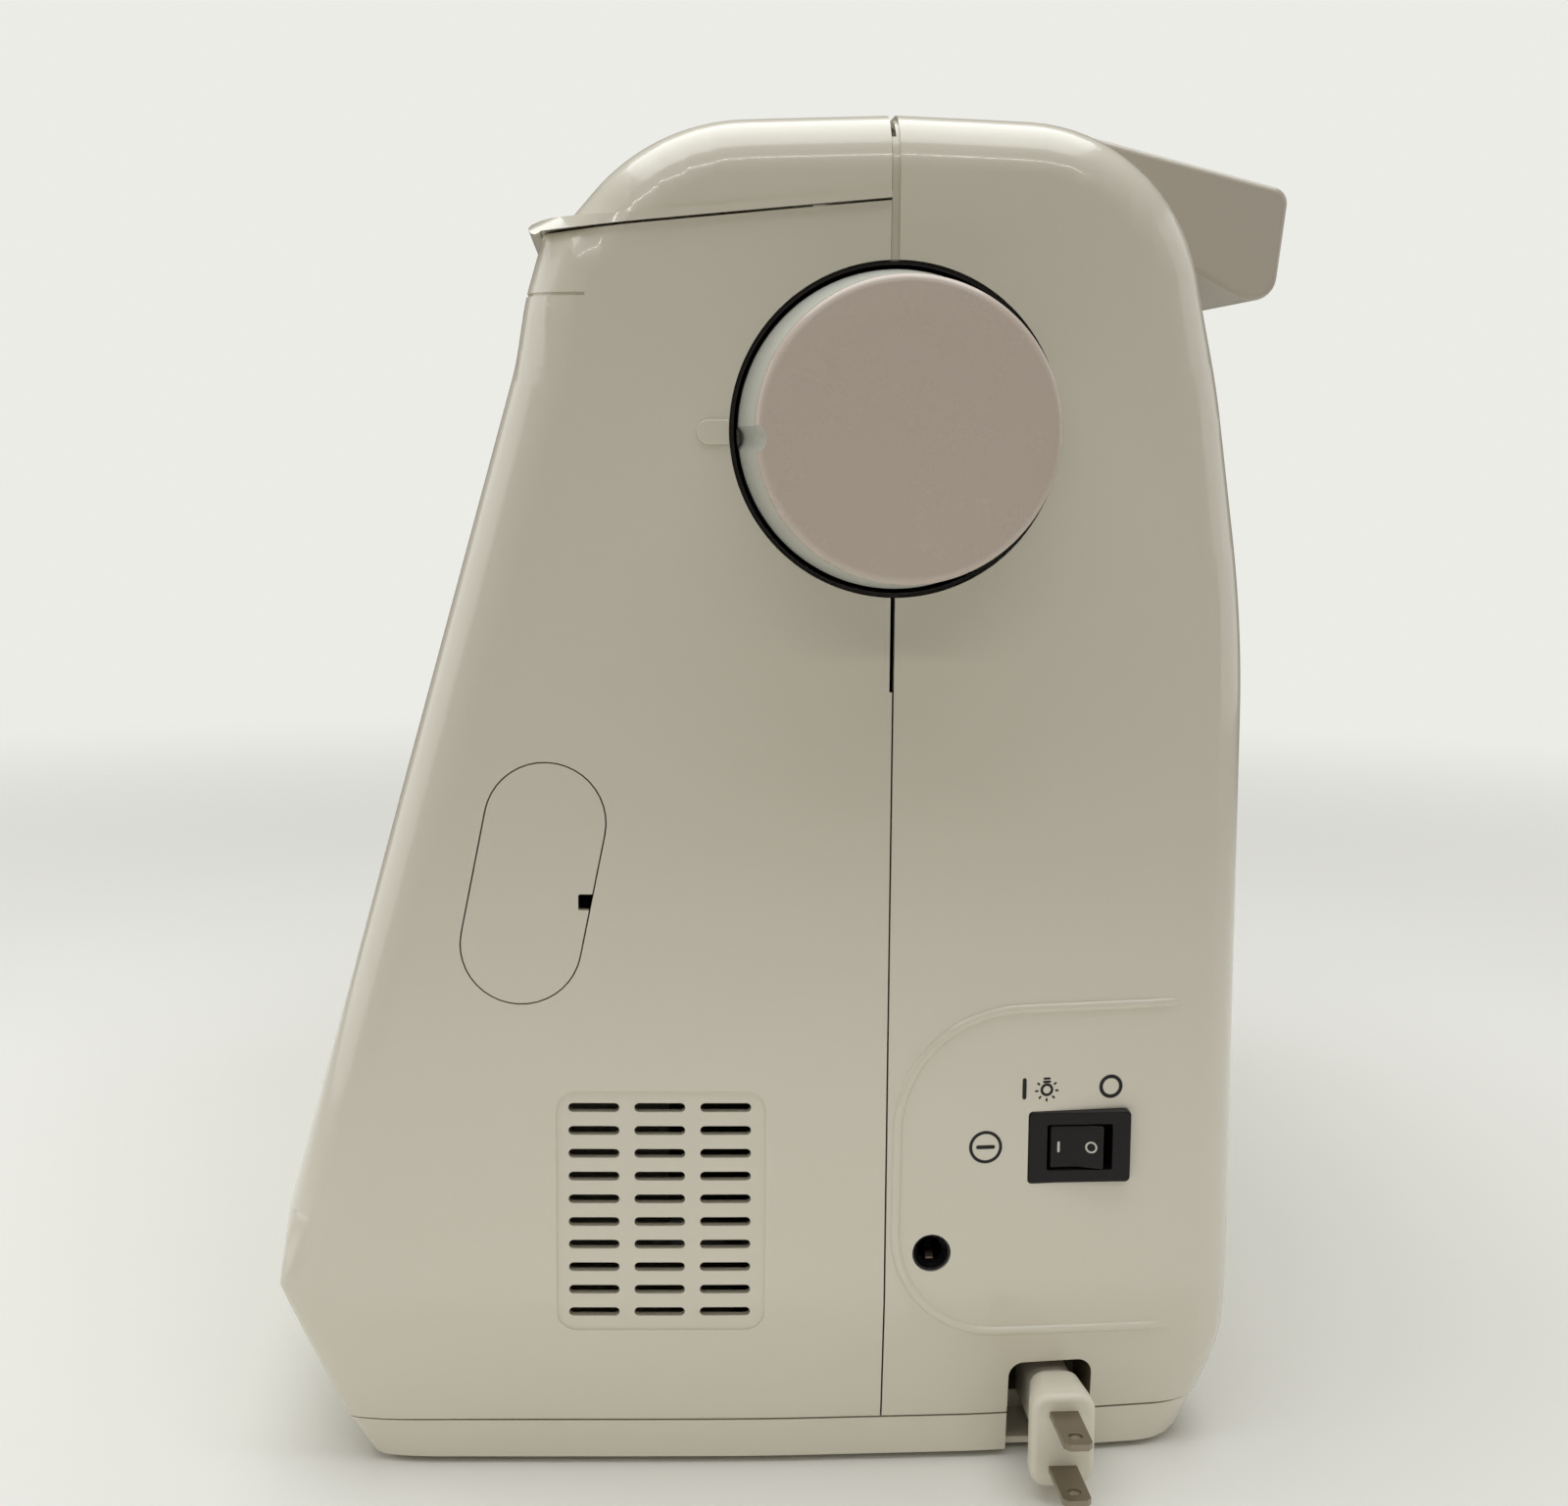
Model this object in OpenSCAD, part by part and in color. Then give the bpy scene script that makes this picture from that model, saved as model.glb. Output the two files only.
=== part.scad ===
// Household sewing machine with a free arm, a top lid and a fold-back carry handle.
// X runs to the handwheel end, Y to the rear and Z up from the table.

/* [Housing] */
// Length of the housing, without handwheel and plug
body_length = 410; // [400:1:420]
// Height of the rear shell's top above the table
body_height = 304.3; // [303:0.1:306]
// Height of the machine's base above the table
foot_height = 4.6; // [4:0.1:5.5]
// Height of the split between the shells and the base cover
split_z = 11.2; // [10.5:0.1:12]
// Wall of the moulded shells
wall = 2.8; // [2.4:0.1:3]
// From the shaft's axis forward to the front corner
front_reach = 137; // [132:0.5:141]
// From the shaft's axis back to the rear face
rear_reach = 81.1; // [79:0.1:83]
// Height of the front corner, where the undercut starts
corner_z = 43.5; // [41:0.5:46]
// How far the front leans back, in degrees
lean = 15.44; // [15:0.02:16]
// Radius of the front upright edge of the handwheel end
front_edge_r = 11; // [8:0.5:13]
// Radius of the rear upright edge of the handwheel end
rear_edge_r = 21; // [16:0.5:24]
// Radius between the end faces and the top
top_edge_r = 14; // [10:0.5:17]
// Length of the right-hand column
column_length = 130; // [128:1:134]
// Length of the sewing head
head_length = 112; // [110:1:116]
// Height of the arm's underside
arm_z = 196; // [193:0.5:199]
// Height of the head's underside
head_z = 166; // [163:0.5:168]
// Length of the face cover on the left end
face_length = 26; // [24:0.5:28]

/* [Shafts and handwheel] */
// Height of the upper shaft
shaft_z = 236.5; // [235.5:0.1:237.5]
// Radius of the upper shaft
shaft_r = 6; // [5:0.25:7]
// Radial running clearance of shafts and pins
run_gap = 0.05; // [0.03:0.01:0.08]
// Radius of the bushes' outside
bush_r = 9; // [8.5:0.25:10]
// Radius of the handwheel's cap
wheel_r = 31.9; // [31:0.1:32.4]
// Outer radius of the dark ring round the handwheel
ring_r = 36.15; // [35.5:0.05:37]
// How far the handwheel stands out of the side
wheel_out = 24; // [21:0.5:26]
// Height of the lower shaft
low_shaft_z = 40; // [39:0.5:41]
// Radius of the lower shaft
low_shaft_r = 4; // [3.5:0.25:4.5]
// Radius of the timing belt's pulleys
pulley_r = 14; // [12:0.5:15]
// Radius of the large pulley that the motor drives
drive_pulley_r = 20; // [18:0.5:20.5]
// Radius of the motor
motor_r = 25; // [23:0.5:26]
// Length of the motor
motor_length = 58; // [52:1:62]

/* [Sewing parts] */
// Distance from the needle to the housing's left end
needle_in = 88; // [87:0.5:89]
// Height of the bed above the table
bed_z = 72; // [71:0.5:73]
// Radius of the needle bar and the presser bar
bar_r = 3.5; // [3.25:0.05:3.75]
// From the needle bar back to the presser bar
presser_back = 14; // [13.5:0.25:15]
// Stroke of the needle bar
needle_stroke = 30; // [28:0.5:31]
// Lift of the presser foot
foot_lift = 7; // [5:0.5:8]
// Outer radius of the hook
hook_r = 17; // [16.5:0.1:17.2]
// From the needle forward to the hook's axis
hook_ahead = 18; // [17.9:0.1:18.4]
// Radius of the bobbin
bobbin_r = 10.25; // [9.5:0.05:10.5]
// Thickness of the needle plate
plate_t = 2; // [1.6:0.1:2.2]
// Depth of the free arm from front to rear
free_arm_depth = 92; // [90:1:94]
// How far the free arm reaches out beyond the needle
arm_reach = 62; // [60:0.5:66]

/* [Lid and handle] */
// How far the lid's seam at its front lip lies below the top
lid_front_drop = 26.3; // [25.3:0.1:27.3]
// How far the lid's seam at the rear lies below the top
lid_rear_drop = 18.9; // [18.3:0.1:19.8]
// Gap between the lid's rear edge and the rear shell
lid_gap = 1.7; // [1.5:0.1:2]
// Gap under the lid's edge
lid_seat = 0.5; // [0.4:0.05:0.7]
// From the needle to the lid's left end
lid_in = 22; // [20:0.5:26]
// Wall of the lid
lid_wall = 2.4; // [2:0.1:2.8]
// From the shaft's axis back to the handle's rear face
handle_reach = 102.1; // [100:0.1:104]
// Length of the handle
handle_length = 172; // [160:1:180]
// From the column's side face in to the handle's end
handle_in = 60; // [58:1:66]
// Width of the handle's arms
handle_arm = 17; // [14:0.5:20]
// Gap round the handle in its recess
handle_gap = 1; // [0.8:0.1:1.4]

/* [Side face] */
// Width of the oval service cover
cover_w = 26.5; // [24:0.5:28]
// Length of the oval service cover
cover_l = 54.5; // [50:0.5:58]
// Gap round fitted covers
cover_gap = 0.3; // [0.25:0.05:0.5]
// Length of a vent slot
slot_l = 11.4; // [10:0.2:12]
// Height of a vent slot
slot_h = 2; // [1.6:0.1:2.4]
// Distance between the rows of slots
slot_row = 5.3; // [5:0.1:5.6]
// Distance between the columns of slots
slot_column = 14.75; // [14:0.25:15]
// Length of the switch bezel
bezel_l = 23.6; // [22.5:0.1:24.5]
// Height of the switch bezel
bezel_h = 16.7; // [15.5:0.1:17.5]
// Radius of the jack that the foot pedal plugs into
jack_r = 2.75; // [2.5:0.05:3]
// Radius of the jack's hole in the shell
jack_hole_r = 4.4; // [4.2:0.05:4.6]
// Width of the plug recess
recess_w = 19.7; // [19:0.1:21]
// Height of the plug recess above the table
recess_z = 23.7; // [23.2:0.1:24.5]

/* [Plug and cord] */
// Width of the plug
plug_w = 14.4; // [13.5:0.1:15.5]
// Height of the plug
plug_h = 21.6; // [20.5:0.1:21.8]
// How far the plug's face stands out of the side
plug_out = 20; // [18:0.5:21]
// Length of the plug's blades
blade_l = 17.5; // [17:0.1:18]
// Width of a blade
blade_w = 6.3; // [6.2:0.05:6.4]
// Thickness of a blade
blade_t = 1.5; // [1.4:0.05:1.6]
// Distance between the blades' middles
blade_pitch = 12.7; // [12.6:0.05:12.8]
// Thickness of the flat cord
cord_t = 3.6; // [3.2:0.1:4]
// Radius of the cord wound on its reel
wound_r = 34; // [32:0.5:35]

/* [Controls] */
// Length of the display window
display_l = 66; // [60:1:70]
// Height of the display window
display_h = 36; // [32:1:40]
// Number of selection keys
key_count = 4; // [4:1:4]
// Distance between the selection keys
key_pitch = 17; // [16.5:0.5:18]
// Travel of keys and buttons
key_travel = 1.5; // [1:0.1:1.8]
// Gap round keys and buttons
key_gap = 0.35; // [0.3:0.05:0.45]
// Travel of the speed slider
slider_travel = 24; // [20:1:26]
// How far the accessory table slides off
table_travel = 150; // [120:5:180]

/* [Hidden] */
$fn = 48;
arc_steps = 5;
far = 900;

plug_reach = plug_out + blade_l;
x_right = (body_length - plug_reach) / 2;
x_left = -(body_length + plug_reach) / 2;
shaft_y = (front_reach - handle_reach) / 2;
y_front = shaft_y - front_reach;
y_rear = shaft_y + rear_reach;
column_x = x_right - column_length;
head_x = x_left + head_length;
needle_x = x_left + needle_in;
hook_y = shaft_y - hook_ahead;
presser_y = shaft_y + presser_back;

// The lid's seam, at its front lip and at its rear
lid_front_z = body_height - lid_front_drop;
lid_rear_z = body_height - lid_rear_drop;

// The front's sloping plane starts above the front corner
slope_y = y_front + 2.6;
slope_z = corner_z + 18;
function front_y(z) = slope_y + (z - slope_z) * tan(lean);

// Points along an arc that rounds the corner at b, whose third value is the radius
function unit(v) = v / norm(v);
function corner(a, b, c) =
    b[2] == 0 ? [[b[0], b[1]]] :
    let (
        p = [b[0], b[1]],
        u = unit([a[0], a[1]] - p),
        v = unit([c[0], c[1]] - p),
        half = acos(u * v) / 2,
        centre = p + unit(u + v) * b[2] / sin(half),
        start = p + u * b[2] / tan(half) - centre,
        turn = (u[0] * v[1] - u[1] * v[0] > 0 ? -1 : 1) * (180 - 2 * half)
    )
    [for (i = [0:arc_steps]) let (t = turn * i / arc_steps)
        centre + [start[0] * cos(t) - start[1] * sin(t), start[0] * sin(t) + start[1] * cos(t)]];
function rounded(points) = [
    for (i = [0:len(points) - 1])
        each corner(points[(i + len(points) - 1) % len(points)], points[i], points[(i + 1) % len(points)])
];

// A flat shape drawn in Y and Z, drawn out along X from x0 to x1
module along_x(x0, x1) {
    translate([x0, 0, 0]) rotate([90, 0, 90]) linear_extrude(x1 - x0) children();
}
// A flat shape drawn in X and Z, drawn out along Y from y0 to y1
module along_y(y0, y1) {
    translate([0, y1, 0]) rotate([90, 0, 0]) linear_extrude(y1 - y0) children();
}
module block(low, high) {
    translate(low) cube(high - low);
}
module rod_x(x0, x1, y, z, r) {
    translate([x0, y, z]) rotate([0, 90, 0]) cylinder(h = x1 - x0, r = r);
}
module rod_y(y0, y1, x, z, r) {
    translate([x, y0, z]) rotate([-90, 0, 0]) cylinder(h = y1 - y0, r = r);
}
module rod_z(z0, z1, x, y, r) {
    translate([x, y, z0]) cylinder(h = z1 - z0, r = r);
}
// A rectangle with round corners, about its middle
module soft_rect(w, h, r) {
    polygon(rounded([[-w / 2, -h / 2, r], [w / 2, -h / 2, r], [w / 2, h / 2, r], [-w / 2, h / 2, r]]));
}
// A slot with round ends along its first direction
module stadium(l, w) {
    square([l - w, w], center = true);
    for (s = [-1, 1]) translate([s * (l - w) / 2, 0]) circle(d = w);
}
// The frame of the sloping front: X along it, Y inwards, Z up the slope from height z
module on_front(x, z) {
    translate([x, front_y(z), z]) rotate([-lean, 0, 0]) children();
}

// Foot of the lid's dome, behind its lip
dome_y = front_y(lid_front_z) + 9;
lid_x = needle_x + lid_in;

// Outlines of the housing
side_points = [
    [y_front + 24, foot_height, 4], [y_front, corner_z, 6], [y_front + 1.5, slope_z - 2, 14],
    [front_y(lid_front_z), lid_front_z, 2], [dome_y, lid_front_z + 4, 3], [dome_y + 8, body_height - 2.5, 14],
    [shaft_y, body_height, 0], [y_rear - 17, body_height - 2, 24], [y_rear - 5, shaft_z, 90],
    [y_rear, 120, 120], [y_rear, 50, 60], [y_rear - 9, foot_height, 9]
];
function end_points(bottom) = [
    [x_right - 3.5, bottom, 0], [x_right, corner_z - 4, 20], [x_right, body_height, top_edge_r],
    [x_left, body_height, top_edge_r * 1.6], [x_left + 3, head_z, 10],
    [head_x, head_z, 8], [head_x + 6, arm_z, 12], [column_x, arm_z, 16], [column_x, bottom, 0]
];
plan_points = [
    [x_left, y_front - 60, 0], [x_right - 8.5, y_front - 60, 0], [x_right, shaft_y - 17, 300],
    [x_right, shaft_y + 18, 120], [x_right - 4.5, y_rear, rear_edge_r], [x_left, y_rear, rear_edge_r]
];
edge_points = [
    [x_left, 0, front_edge_r], [x_right - 5.5, 0, front_edge_r], [x_right + 4, 40, 0],
    [x_right + 40, 60, 0], [x_right + 40, 500, 0], [x_left - 40, 500, 0], [x_left - 40, 60, 0],
    [x_left - 4, 40, 0]
];

// The housing's solid form, drawn in by inset all round
module envelope(inset, bottom) {
    intersection() {
        along_x(x_left - 5, x_right + 5) offset(delta = -inset) polygon(rounded(side_points));
        along_y(-far / 2, far / 2) offset(delta = -inset) polygon(rounded(end_points(bottom)));
        linear_extrude(far / 2) offset(delta = -inset) polygon(rounded(plan_points));
        translate([0, slope_y, slope_z]) rotate([-lean, 0, 0])
            translate([0, 0, -far / 3]) linear_extrude(far) offset(delta = -inset) polygon(rounded(edge_points));
    }
}

// The room above the lid's seam, grown by some margin
lid_slope = (lid_rear_z - lid_front_z) / (shaft_y - front_y(lid_front_z));
function seam_z(y) = lid_front_z + (y - front_y(lid_front_z)) * lid_slope;
module above_seam(x0, x1, y1, lift) {
    along_x(x0, x1) polygon([
        [y_front, seam_z(y_front) + lift], [y1, seam_z(y1) + lift],
        [y1, body_height + 50], [y_front, body_height + 50]
    ]);
}
module lid_room(grow) {
    above_seam(lid_x - grow, far, shaft_y + grow, -grow);
}

// Handle: pivot, outline and the recess that it folds into
handle_x1 = x_right - handle_in;
handle_x0 = handle_x1 - handle_length;
handle_y = shaft_y + handle_reach;
pivot_y = handle_y - 57;
pivot_z = body_height - 10;
handle_pin_r = 2.5;
handle_swing = 14;
handle_top = 2.5;
handle_points = [
    [pivot_y - 9, pivot_z - 9, 8.5], [pivot_y - 9, body_height + handle_top, 10],
    [handle_y - 50, body_height + handle_top, 40], [handle_y, body_height - 9.7, 4],
    [handle_y - 3.2, body_height - 38.5, 6], [handle_y - 14, body_height - 34, 10],
    [pivot_y + 16, pivot_z - 9, 10]
];
module handle_room(grow) {
    along_x(handle_x0 - handle_gap - grow, handle_x1 + handle_gap + grow) {
        offset(delta = handle_gap + grow) polygon(rounded(handle_points));
        translate([pivot_y, pivot_z]) circle(handle_swing + grow);
        translate([pivot_y - handle_swing - grow, pivot_z]) square([120, 60]);
    }
}

module wheel_hole() {
    rod_x(x_right - 40, x_right + 10, shaft_y, shaft_z, ring_r + 0.1);
}
cover_y = shaft_y - 79;
cover_z = shaft_z - 99.8;
cover_tilt = 11.3;
module cover_shape(gap) {
    along_x(x_right - 30, x_right + 5) translate([cover_y, cover_z]) rotate(90 - cover_tilt)
        stadium(cover_l + 2 * gap, cover_w + 2 * gap);
}
vent_y = shaft_y - 65.75;
vent_z = shaft_z - 150.7;
vent_rows = 10;
vent_columns = 3;
module vent_slots() {
    for (c = [0:vent_columns - 1], r = [0:vent_rows - 1])
        along_x(x_right - 30, x_right + 5)
            translate([vent_y + c * slot_column, vent_z - r * slot_row]) stadium(slot_l, slot_h);
}
switch_y = shaft_y + 44.3;
switch_z = shaft_z - 161.05;
jack_y = shaft_y + 10.65;
jack_z = shaft_z - 185.2;
plug_y = shaft_y + 38;
plug_z = 14.5;
recess_y = plug_y + 1.3;
recess_depth = 26;
module recess_shape(low) {
    along_x(x_right - recess_depth, x_right + 5) translate([recess_y, (recess_z + low) / 2])
        soft_rect(recess_w, recess_z - low, 3);
}
// The side face behind the shaft falls away towards the rear
function side_x(y) = x_right - max(0, y - shaft_y - 18) * 4.5 / (rear_reach - 18);

// Spool tray under the lid
tray_x0 = lid_x + 26;
tray_x1 = tray_x0 + 148;
tray_y0 = front_y(lid_front_z) + 9;
tray_y1 = shaft_y - 4;
tray_z = lid_front_z - 22;

// Places of the controls on the sloping front
display_x = column_x + 62;
display_z = 214;
keys_z = display_z - 40;
key_w = 12;
key_h = 8;
buttons_z = 186;
button_count = 3;
function button_x(i) = needle_x - 40 + i * 24;
button_r = 6.5;
slider_x = head_x + 52;
slider_z = arm_z + 20;
take_x = needle_x - 12;
take_slot_z = 248;
dial_x = needle_x + 11;
dial_z = 258;
dial_r = 16;
dial_t = 8;
dial_in = 11;

module front_cuts() {
    on_front(display_x, display_z) along_y(-8, 30)
        soft_rect(display_l + 2 * cover_gap, display_h + 2 * cover_gap, 4 + cover_gap);
    for (i = [0:key_count - 1])
        on_front(key_x(i), keys_z) along_y(-8, 30) soft_rect(key_w + 2 * key_gap, key_h + 2 * key_gap, 2);
    for (i = [0:button_count - 1])
        on_front(button_x(i), buttons_z) rod_y(-10, 12, 0, 0, button_r + key_gap);
    on_front(slider_x, slider_z) along_y(-8, 20) stadium(slider_travel + 12, 4);
    on_front(take_x, take_slot_z) block([-3.5, -8, -42], [3.5, 12, 26]);
    on_front(dial_x, dial_z) block([-dial_t / 2 - 0.5, -8, -15], [dial_t / 2 + 0.5, 10, 15]);
}
function key_x(i) = display_x + (i - (key_count - 1) / 2) * key_pitch;

module shell_wall() {
    difference() {
        envelope(0, split_z);
        difference() {
            envelope(wall, -far / 4);
            lid_room(wall);
            handle_room(wall);
        }
        lid_room(0);
        handle_room(0);
    }
}

module front_shell() {
    color("ivory") difference() {
        union() {
            intersection() {
                shell_wall();
                block([x_left + face_length, -far, 0], [far, shaft_y, far]);
            }
            intersection() {
                block([tray_x0, tray_y0, tray_z], [tray_x1, tray_y1, lid_front_z + 2]);
                difference() {
                    envelope(wall / 2, split_z);
                    lid_room(0);
                }
            }
        }
        block([tray_x0 + 2, tray_y0 + 2, tray_z + 2], [tray_x1 - 2, tray_y1 - 2, far]);
        wheel_hole();
        cover_shape(cover_gap);
        vent_slots();
        front_cuts();
        head_opening();
        arm_opening();
        rod_z(lid_front_z - 20, lid_front_z + 20, winder_x, winder_y, winder_r + 0.5);
    }
}
module head_opening() {
    block([needle_x - 22, shaft_y - 18, head_z - 5], [needle_x + 18, shaft_y + 26, head_z + 10]);
}
winder_x = tray_x1 + 34;
winder_y = shaft_y - 44;
winder_r = 2.4;

module rear_shell() {
    color("ivory") difference() {
        union() {
            intersection() {
                shell_wall();
                block([x_left + face_length, shaft_y, 0], [far, far, far]);
            }
            intersection() {
                block([x_right - recess_depth - 2, recess_y - recess_w / 2 - 2, split_z],
                      [x_right - 4, recess_y + recess_w / 2 + 2, recess_z + 2]);
                envelope(wall / 2, split_z);
            }
            for (x = knuckle_x) lid_knuckle(x);
        }
        for (x = knuckle_x) rod_x(x - 1, x + knuckle_w + 1, hinge_y, hinge_z, lid_pin_r);
        block([x_right - recess_depth - 5, plug_y - 4, plug_z - 5], [x_right - recess_depth + 1, plug_y + 4, plug_z + 5]);
        wheel_hole();
        head_opening();
        arm_opening();
        along_x(x_right - 30, x_right + 5) translate([switch_y, switch_z])
            square([bezel_l - 3, bezel_h - 3], center = true);
        along_x(bezel_x - bezel_seat - 0.05, x_right + 5) translate([switch_y, switch_z])
            soft_rect(bezel_l + 0.2, bezel_h + 0.2, 1);
        rod_x(x_right - 8, x_right + 5, jack_y, jack_z, jack_hole_r);
        recess_shape(-5);
        for (x = [handle_x0 - handle_gap - wall - 3, handle_x1 + handle_gap - 3])
            rod_x(x, x + wall + 6, pivot_y, pivot_z, handle_pin_r + run_gap);
        lifter_slot();
    }
}
module lifter_slot() {
    block([needle_x - 6, y_rear - 12, head_z + 6], [needle_x + 6, y_rear + 5, head_z + 74]);
}

module face_cover() {
    color("ivory") intersection() {
        shell_wall();
        block([x_left - 5, -far, 0], [x_left + face_length, far, far]);
    }
}

// Bed and base
arm_x = needle_x - arm_reach;
arm_y0 = shaft_y - free_arm_depth / 2 - 2;
arm_y1 = arm_y0 + free_arm_depth;
floor_z = foot_height + wall;
module base_form(inset) {
    intersection() {
        along_x(column_x + inset, x_right) offset(delta = -inset) polygon(rounded(side_points));
        linear_extrude(far) offset(delta = -inset - 3.6) polygon(rounded(plan_points));
    }
    block([arm_x + inset, arm_y0 + inset, 0], [column_x + inset + 1, arm_y1 - inset, far]);
}
module base_cover() {
    color("ivory") difference() {
        intersection() {
            base_form(0);
            block([-far, -far, foot_height], [far, far, split_z - cover_gap]);
        }
        intersection() {
            base_form(wall);
            block([-far, -far, floor_z], [far, far, far]);
        }
        recess_shape(-5);
        for (p = foot_places) rod_z(0, foot_height + foot_seat, p[0], p[1], foot_r);
    }
}
foot_r = 8;
foot_seat = 1.2;
foot_places = [
    [x_right - 24, y_front + 42], [x_right - 24, y_rear - 26],
    [arm_x + 16, arm_y0 + 14], [arm_x + 16, arm_y1 - 14], [column_x + 16, y_front + 42], [column_x + 16, y_rear - 26]
];
module rubber_feet() {
    color("dimgray") for (p = foot_places) {
        rod_z(1, foot_height + foot_seat, p[0], p[1], foot_r);
        rod_z(0, 1, p[0], p[1], foot_r - 1);
    }
}

// Lid and its hinge, close under the rear edge of the lid's top
lid_rear_y = shaft_y - lid_gap;
hinge_y = lid_rear_y - 2.4;
hinge_z = body_height - 2.7;
lid_pin_r = 1.2;
knuckle_w = 8;
knuckle_x = [lid_x + 20, x_right - 34];
module lid_knuckle(x) {
    rod_x(x, x + knuckle_w, hinge_y, hinge_z, 2.2);
    block([x, hinge_y, hinge_z - 2.2], [x + knuckle_w, shaft_y + 1, hinge_z + 1.6]);
}
lip_y = front_y(lid_front_z) - 4;
module lid_lip() {
    intersection() {
        along_x(lid_x + cover_gap, x_right - 2.6) polygon(rounded([
            [lip_y, seam_z(lip_y) + lid_seat, 0.6], [lip_y + 2, seam_z(lip_y) + lid_seat + 3.4, 1.2],
            [dome_y + 3, seam_z(dome_y) + 5, 0], [dome_y + 3, seam_z(dome_y) + lid_seat, 0]
        ]));
        linear_extrude(far) polygon(rounded([
            [lid_x, lip_y - 1, 0], [x_right - 2.6, lip_y - 1, 16], [x_right - 2.6, 0, 0], [lid_x, 0, 0]
        ]));
    }
}
module top_lid() {
    color("ivory") difference() {
        union() {
            difference() {
                intersection() {
                    envelope(0, split_z);
                    above_seam(lid_x + cover_gap, far, lid_rear_y, lid_seat);
                }
                intersection() {
                    envelope(lid_wall, -far / 4);
                    block([lid_x + cover_gap + lid_wall, -far, 0], [far, far, far]);
                }
            }
            lid_lip();
            for (x = knuckle_x, s = [0, 1])
                rod_x(x + (s == 0 ? -6 - cover_gap : knuckle_w + cover_gap),
                      x + (s == 0 ? -cover_gap : knuckle_w + 6 + cover_gap), hinge_y, hinge_z, 2.2);
        }
        for (x = knuckle_x) {
            rod_x(x - 6 - cover_gap, x + knuckle_w + 6 + cover_gap, hinge_y, hinge_z, lid_pin_r + run_gap);
            block([x - cover_gap, hinge_y - 2.7, hinge_z - 4], [x + knuckle_w + cover_gap, shaft_y + 1, body_height + 1]);
        }
    }
}
module lid_hinge_pins() {
    color("silver") for (x = knuckle_x)
        rod_x(x - 5, x + knuckle_w + 5, hinge_y, hinge_z, lid_pin_r);
}

module carry_handle() {
    color("ivory") difference() {
        along_x(handle_x0, handle_x1) polygon(rounded(handle_points));
        block([handle_x0 + handle_arm, -far, 0], [handle_x1 - handle_arm, handle_y - 30, far]);
        for (x = [handle_x0 - 1, handle_x1 - 9]) rod_x(x, x + 10, pivot_y, pivot_z, handle_pin_r);
    }
}
module handle_pins() {
    color("silver") {
        rod_x(handle_x0 - handle_gap - wall, handle_x0 + 9, pivot_y, pivot_z, handle_pin_r);
        rod_x(handle_x1 - 9, handle_x1 + handle_gap + wall, pivot_y, pivot_z, handle_pin_r);
    }
}

skirt_r = wheel_r + 0.8;
wheel_back = x_right - 10;
hub_r = 9;
wheel_rim = 3;
module turned_x(x) {
    translate([x, shaft_y, shaft_z]) rotate([0, 90, 0]) rotate_extrude() children();
}
module handwheel() {
    color("gainsboro") difference() {
        turned_x(wheel_back) difference() {
            polygon(rounded([
                [0, 0, 0], [skirt_r, 0, 0], [skirt_r, 12, 0.3], [wheel_r, 13, 0.3],
                [wheel_r, wheel_out + 10, 4], [0, wheel_out + 10.0, 0]
            ]));
            translate([hub_r, -1]) square([skirt_r - wheel_rim - hub_r, wheel_out + 7]);
        }
        rod_x(wheel_back - 1, x_right + 12, shaft_y, shaft_z, shaft_r);
        rod_x(wheel_back - 1, x_right + 4, shaft_y - skirt_r - 1, shaft_z - 2, 3.4);
    }
}
module wheel_ring() {
    color("black") turned_x(wheel_back - 3.5) difference() {
        square([ring_r, 12.7]);
        translate([-1, 1.5]) square([skirt_r + 2.5, 20]);
        translate([-1, -1]) square([hub_r + 1, 20]);
    }
}
module service_cover() {
    color("ivory") intersection() {
        difference() {
            envelope(0, split_z);
            envelope(wall - 0.3, -far / 4);
        }
        cover_shape(0);
    }
}

// Switch, jack, plug and cord reel
bezel_x = side_x(switch_y);
bezel_depth = 15;
bezel_seat = 1.2;
rocker_l = 12.4;
rocker_h = 10;
rocker_x = bezel_x - 4;
rocker_tilt = 8;
module switch_bezel() {
    color("black") difference() {
        union() {
            along_x(bezel_x - bezel_seat, bezel_x + 1.2) translate([switch_y, switch_z]) soft_rect(bezel_l, bezel_h, 1);
            along_x(bezel_x - bezel_depth, bezel_x) translate([switch_y, switch_z])
                square([bezel_l - 4, bezel_h - 4], center = true);
        }
        along_x(bezel_x - bezel_depth + 2, bezel_x + 5) translate([switch_y, switch_z])
            square([rocker_l + 2.6, rocker_h + 0.6], center = true);
        rod_z(switch_z - rocker_h / 2 - 1.4, switch_z + rocker_h / 2 + 1.4, rocker_x, switch_y, 1 + run_gap);
    }
}
module power_rocker() {
    color("black") {
        translate([rocker_x, switch_y, switch_z - rocker_h / 2]) rotate(-rocker_tilt) linear_extrude(rocker_h)
            polygon([
                [-4, -3], [3, -rocker_l / 2 + 0.4], [5.6, -rocker_l / 2], [4.4, 0],
                [5.6, rocker_l / 2], [3, rocker_l / 2 - 0.4], [-4, 3]
            ]);
        rod_z(switch_z - rocker_h / 2 - 1.2, switch_z + rocker_h / 2 + 1.2, rocker_x, switch_y, 1);
    }
}
module pedal_jack() {
    color("black") difference() {
        rod_x(x_right - 16, x_right - 0.8, jack_y, jack_z, jack_hole_r);
        rod_x(x_right - 14, x_right, jack_y, jack_z, jack_r);
    }
}
module plug_body() {
    color("ivory") difference() {
        union() {
            along_x(x_right - 1.2, x_right + plug_out) translate([plug_y, plug_z]) soft_rect(plug_w, plug_h, 4);
            along_x(x_right - 22, x_right - 1.2) translate([plug_y, plug_z - 0.8]) soft_rect(plug_w - 3, plug_h - 5.6, 4);
        }
        for (s = [-1, 1]) blade(s);
    }
}
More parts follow.
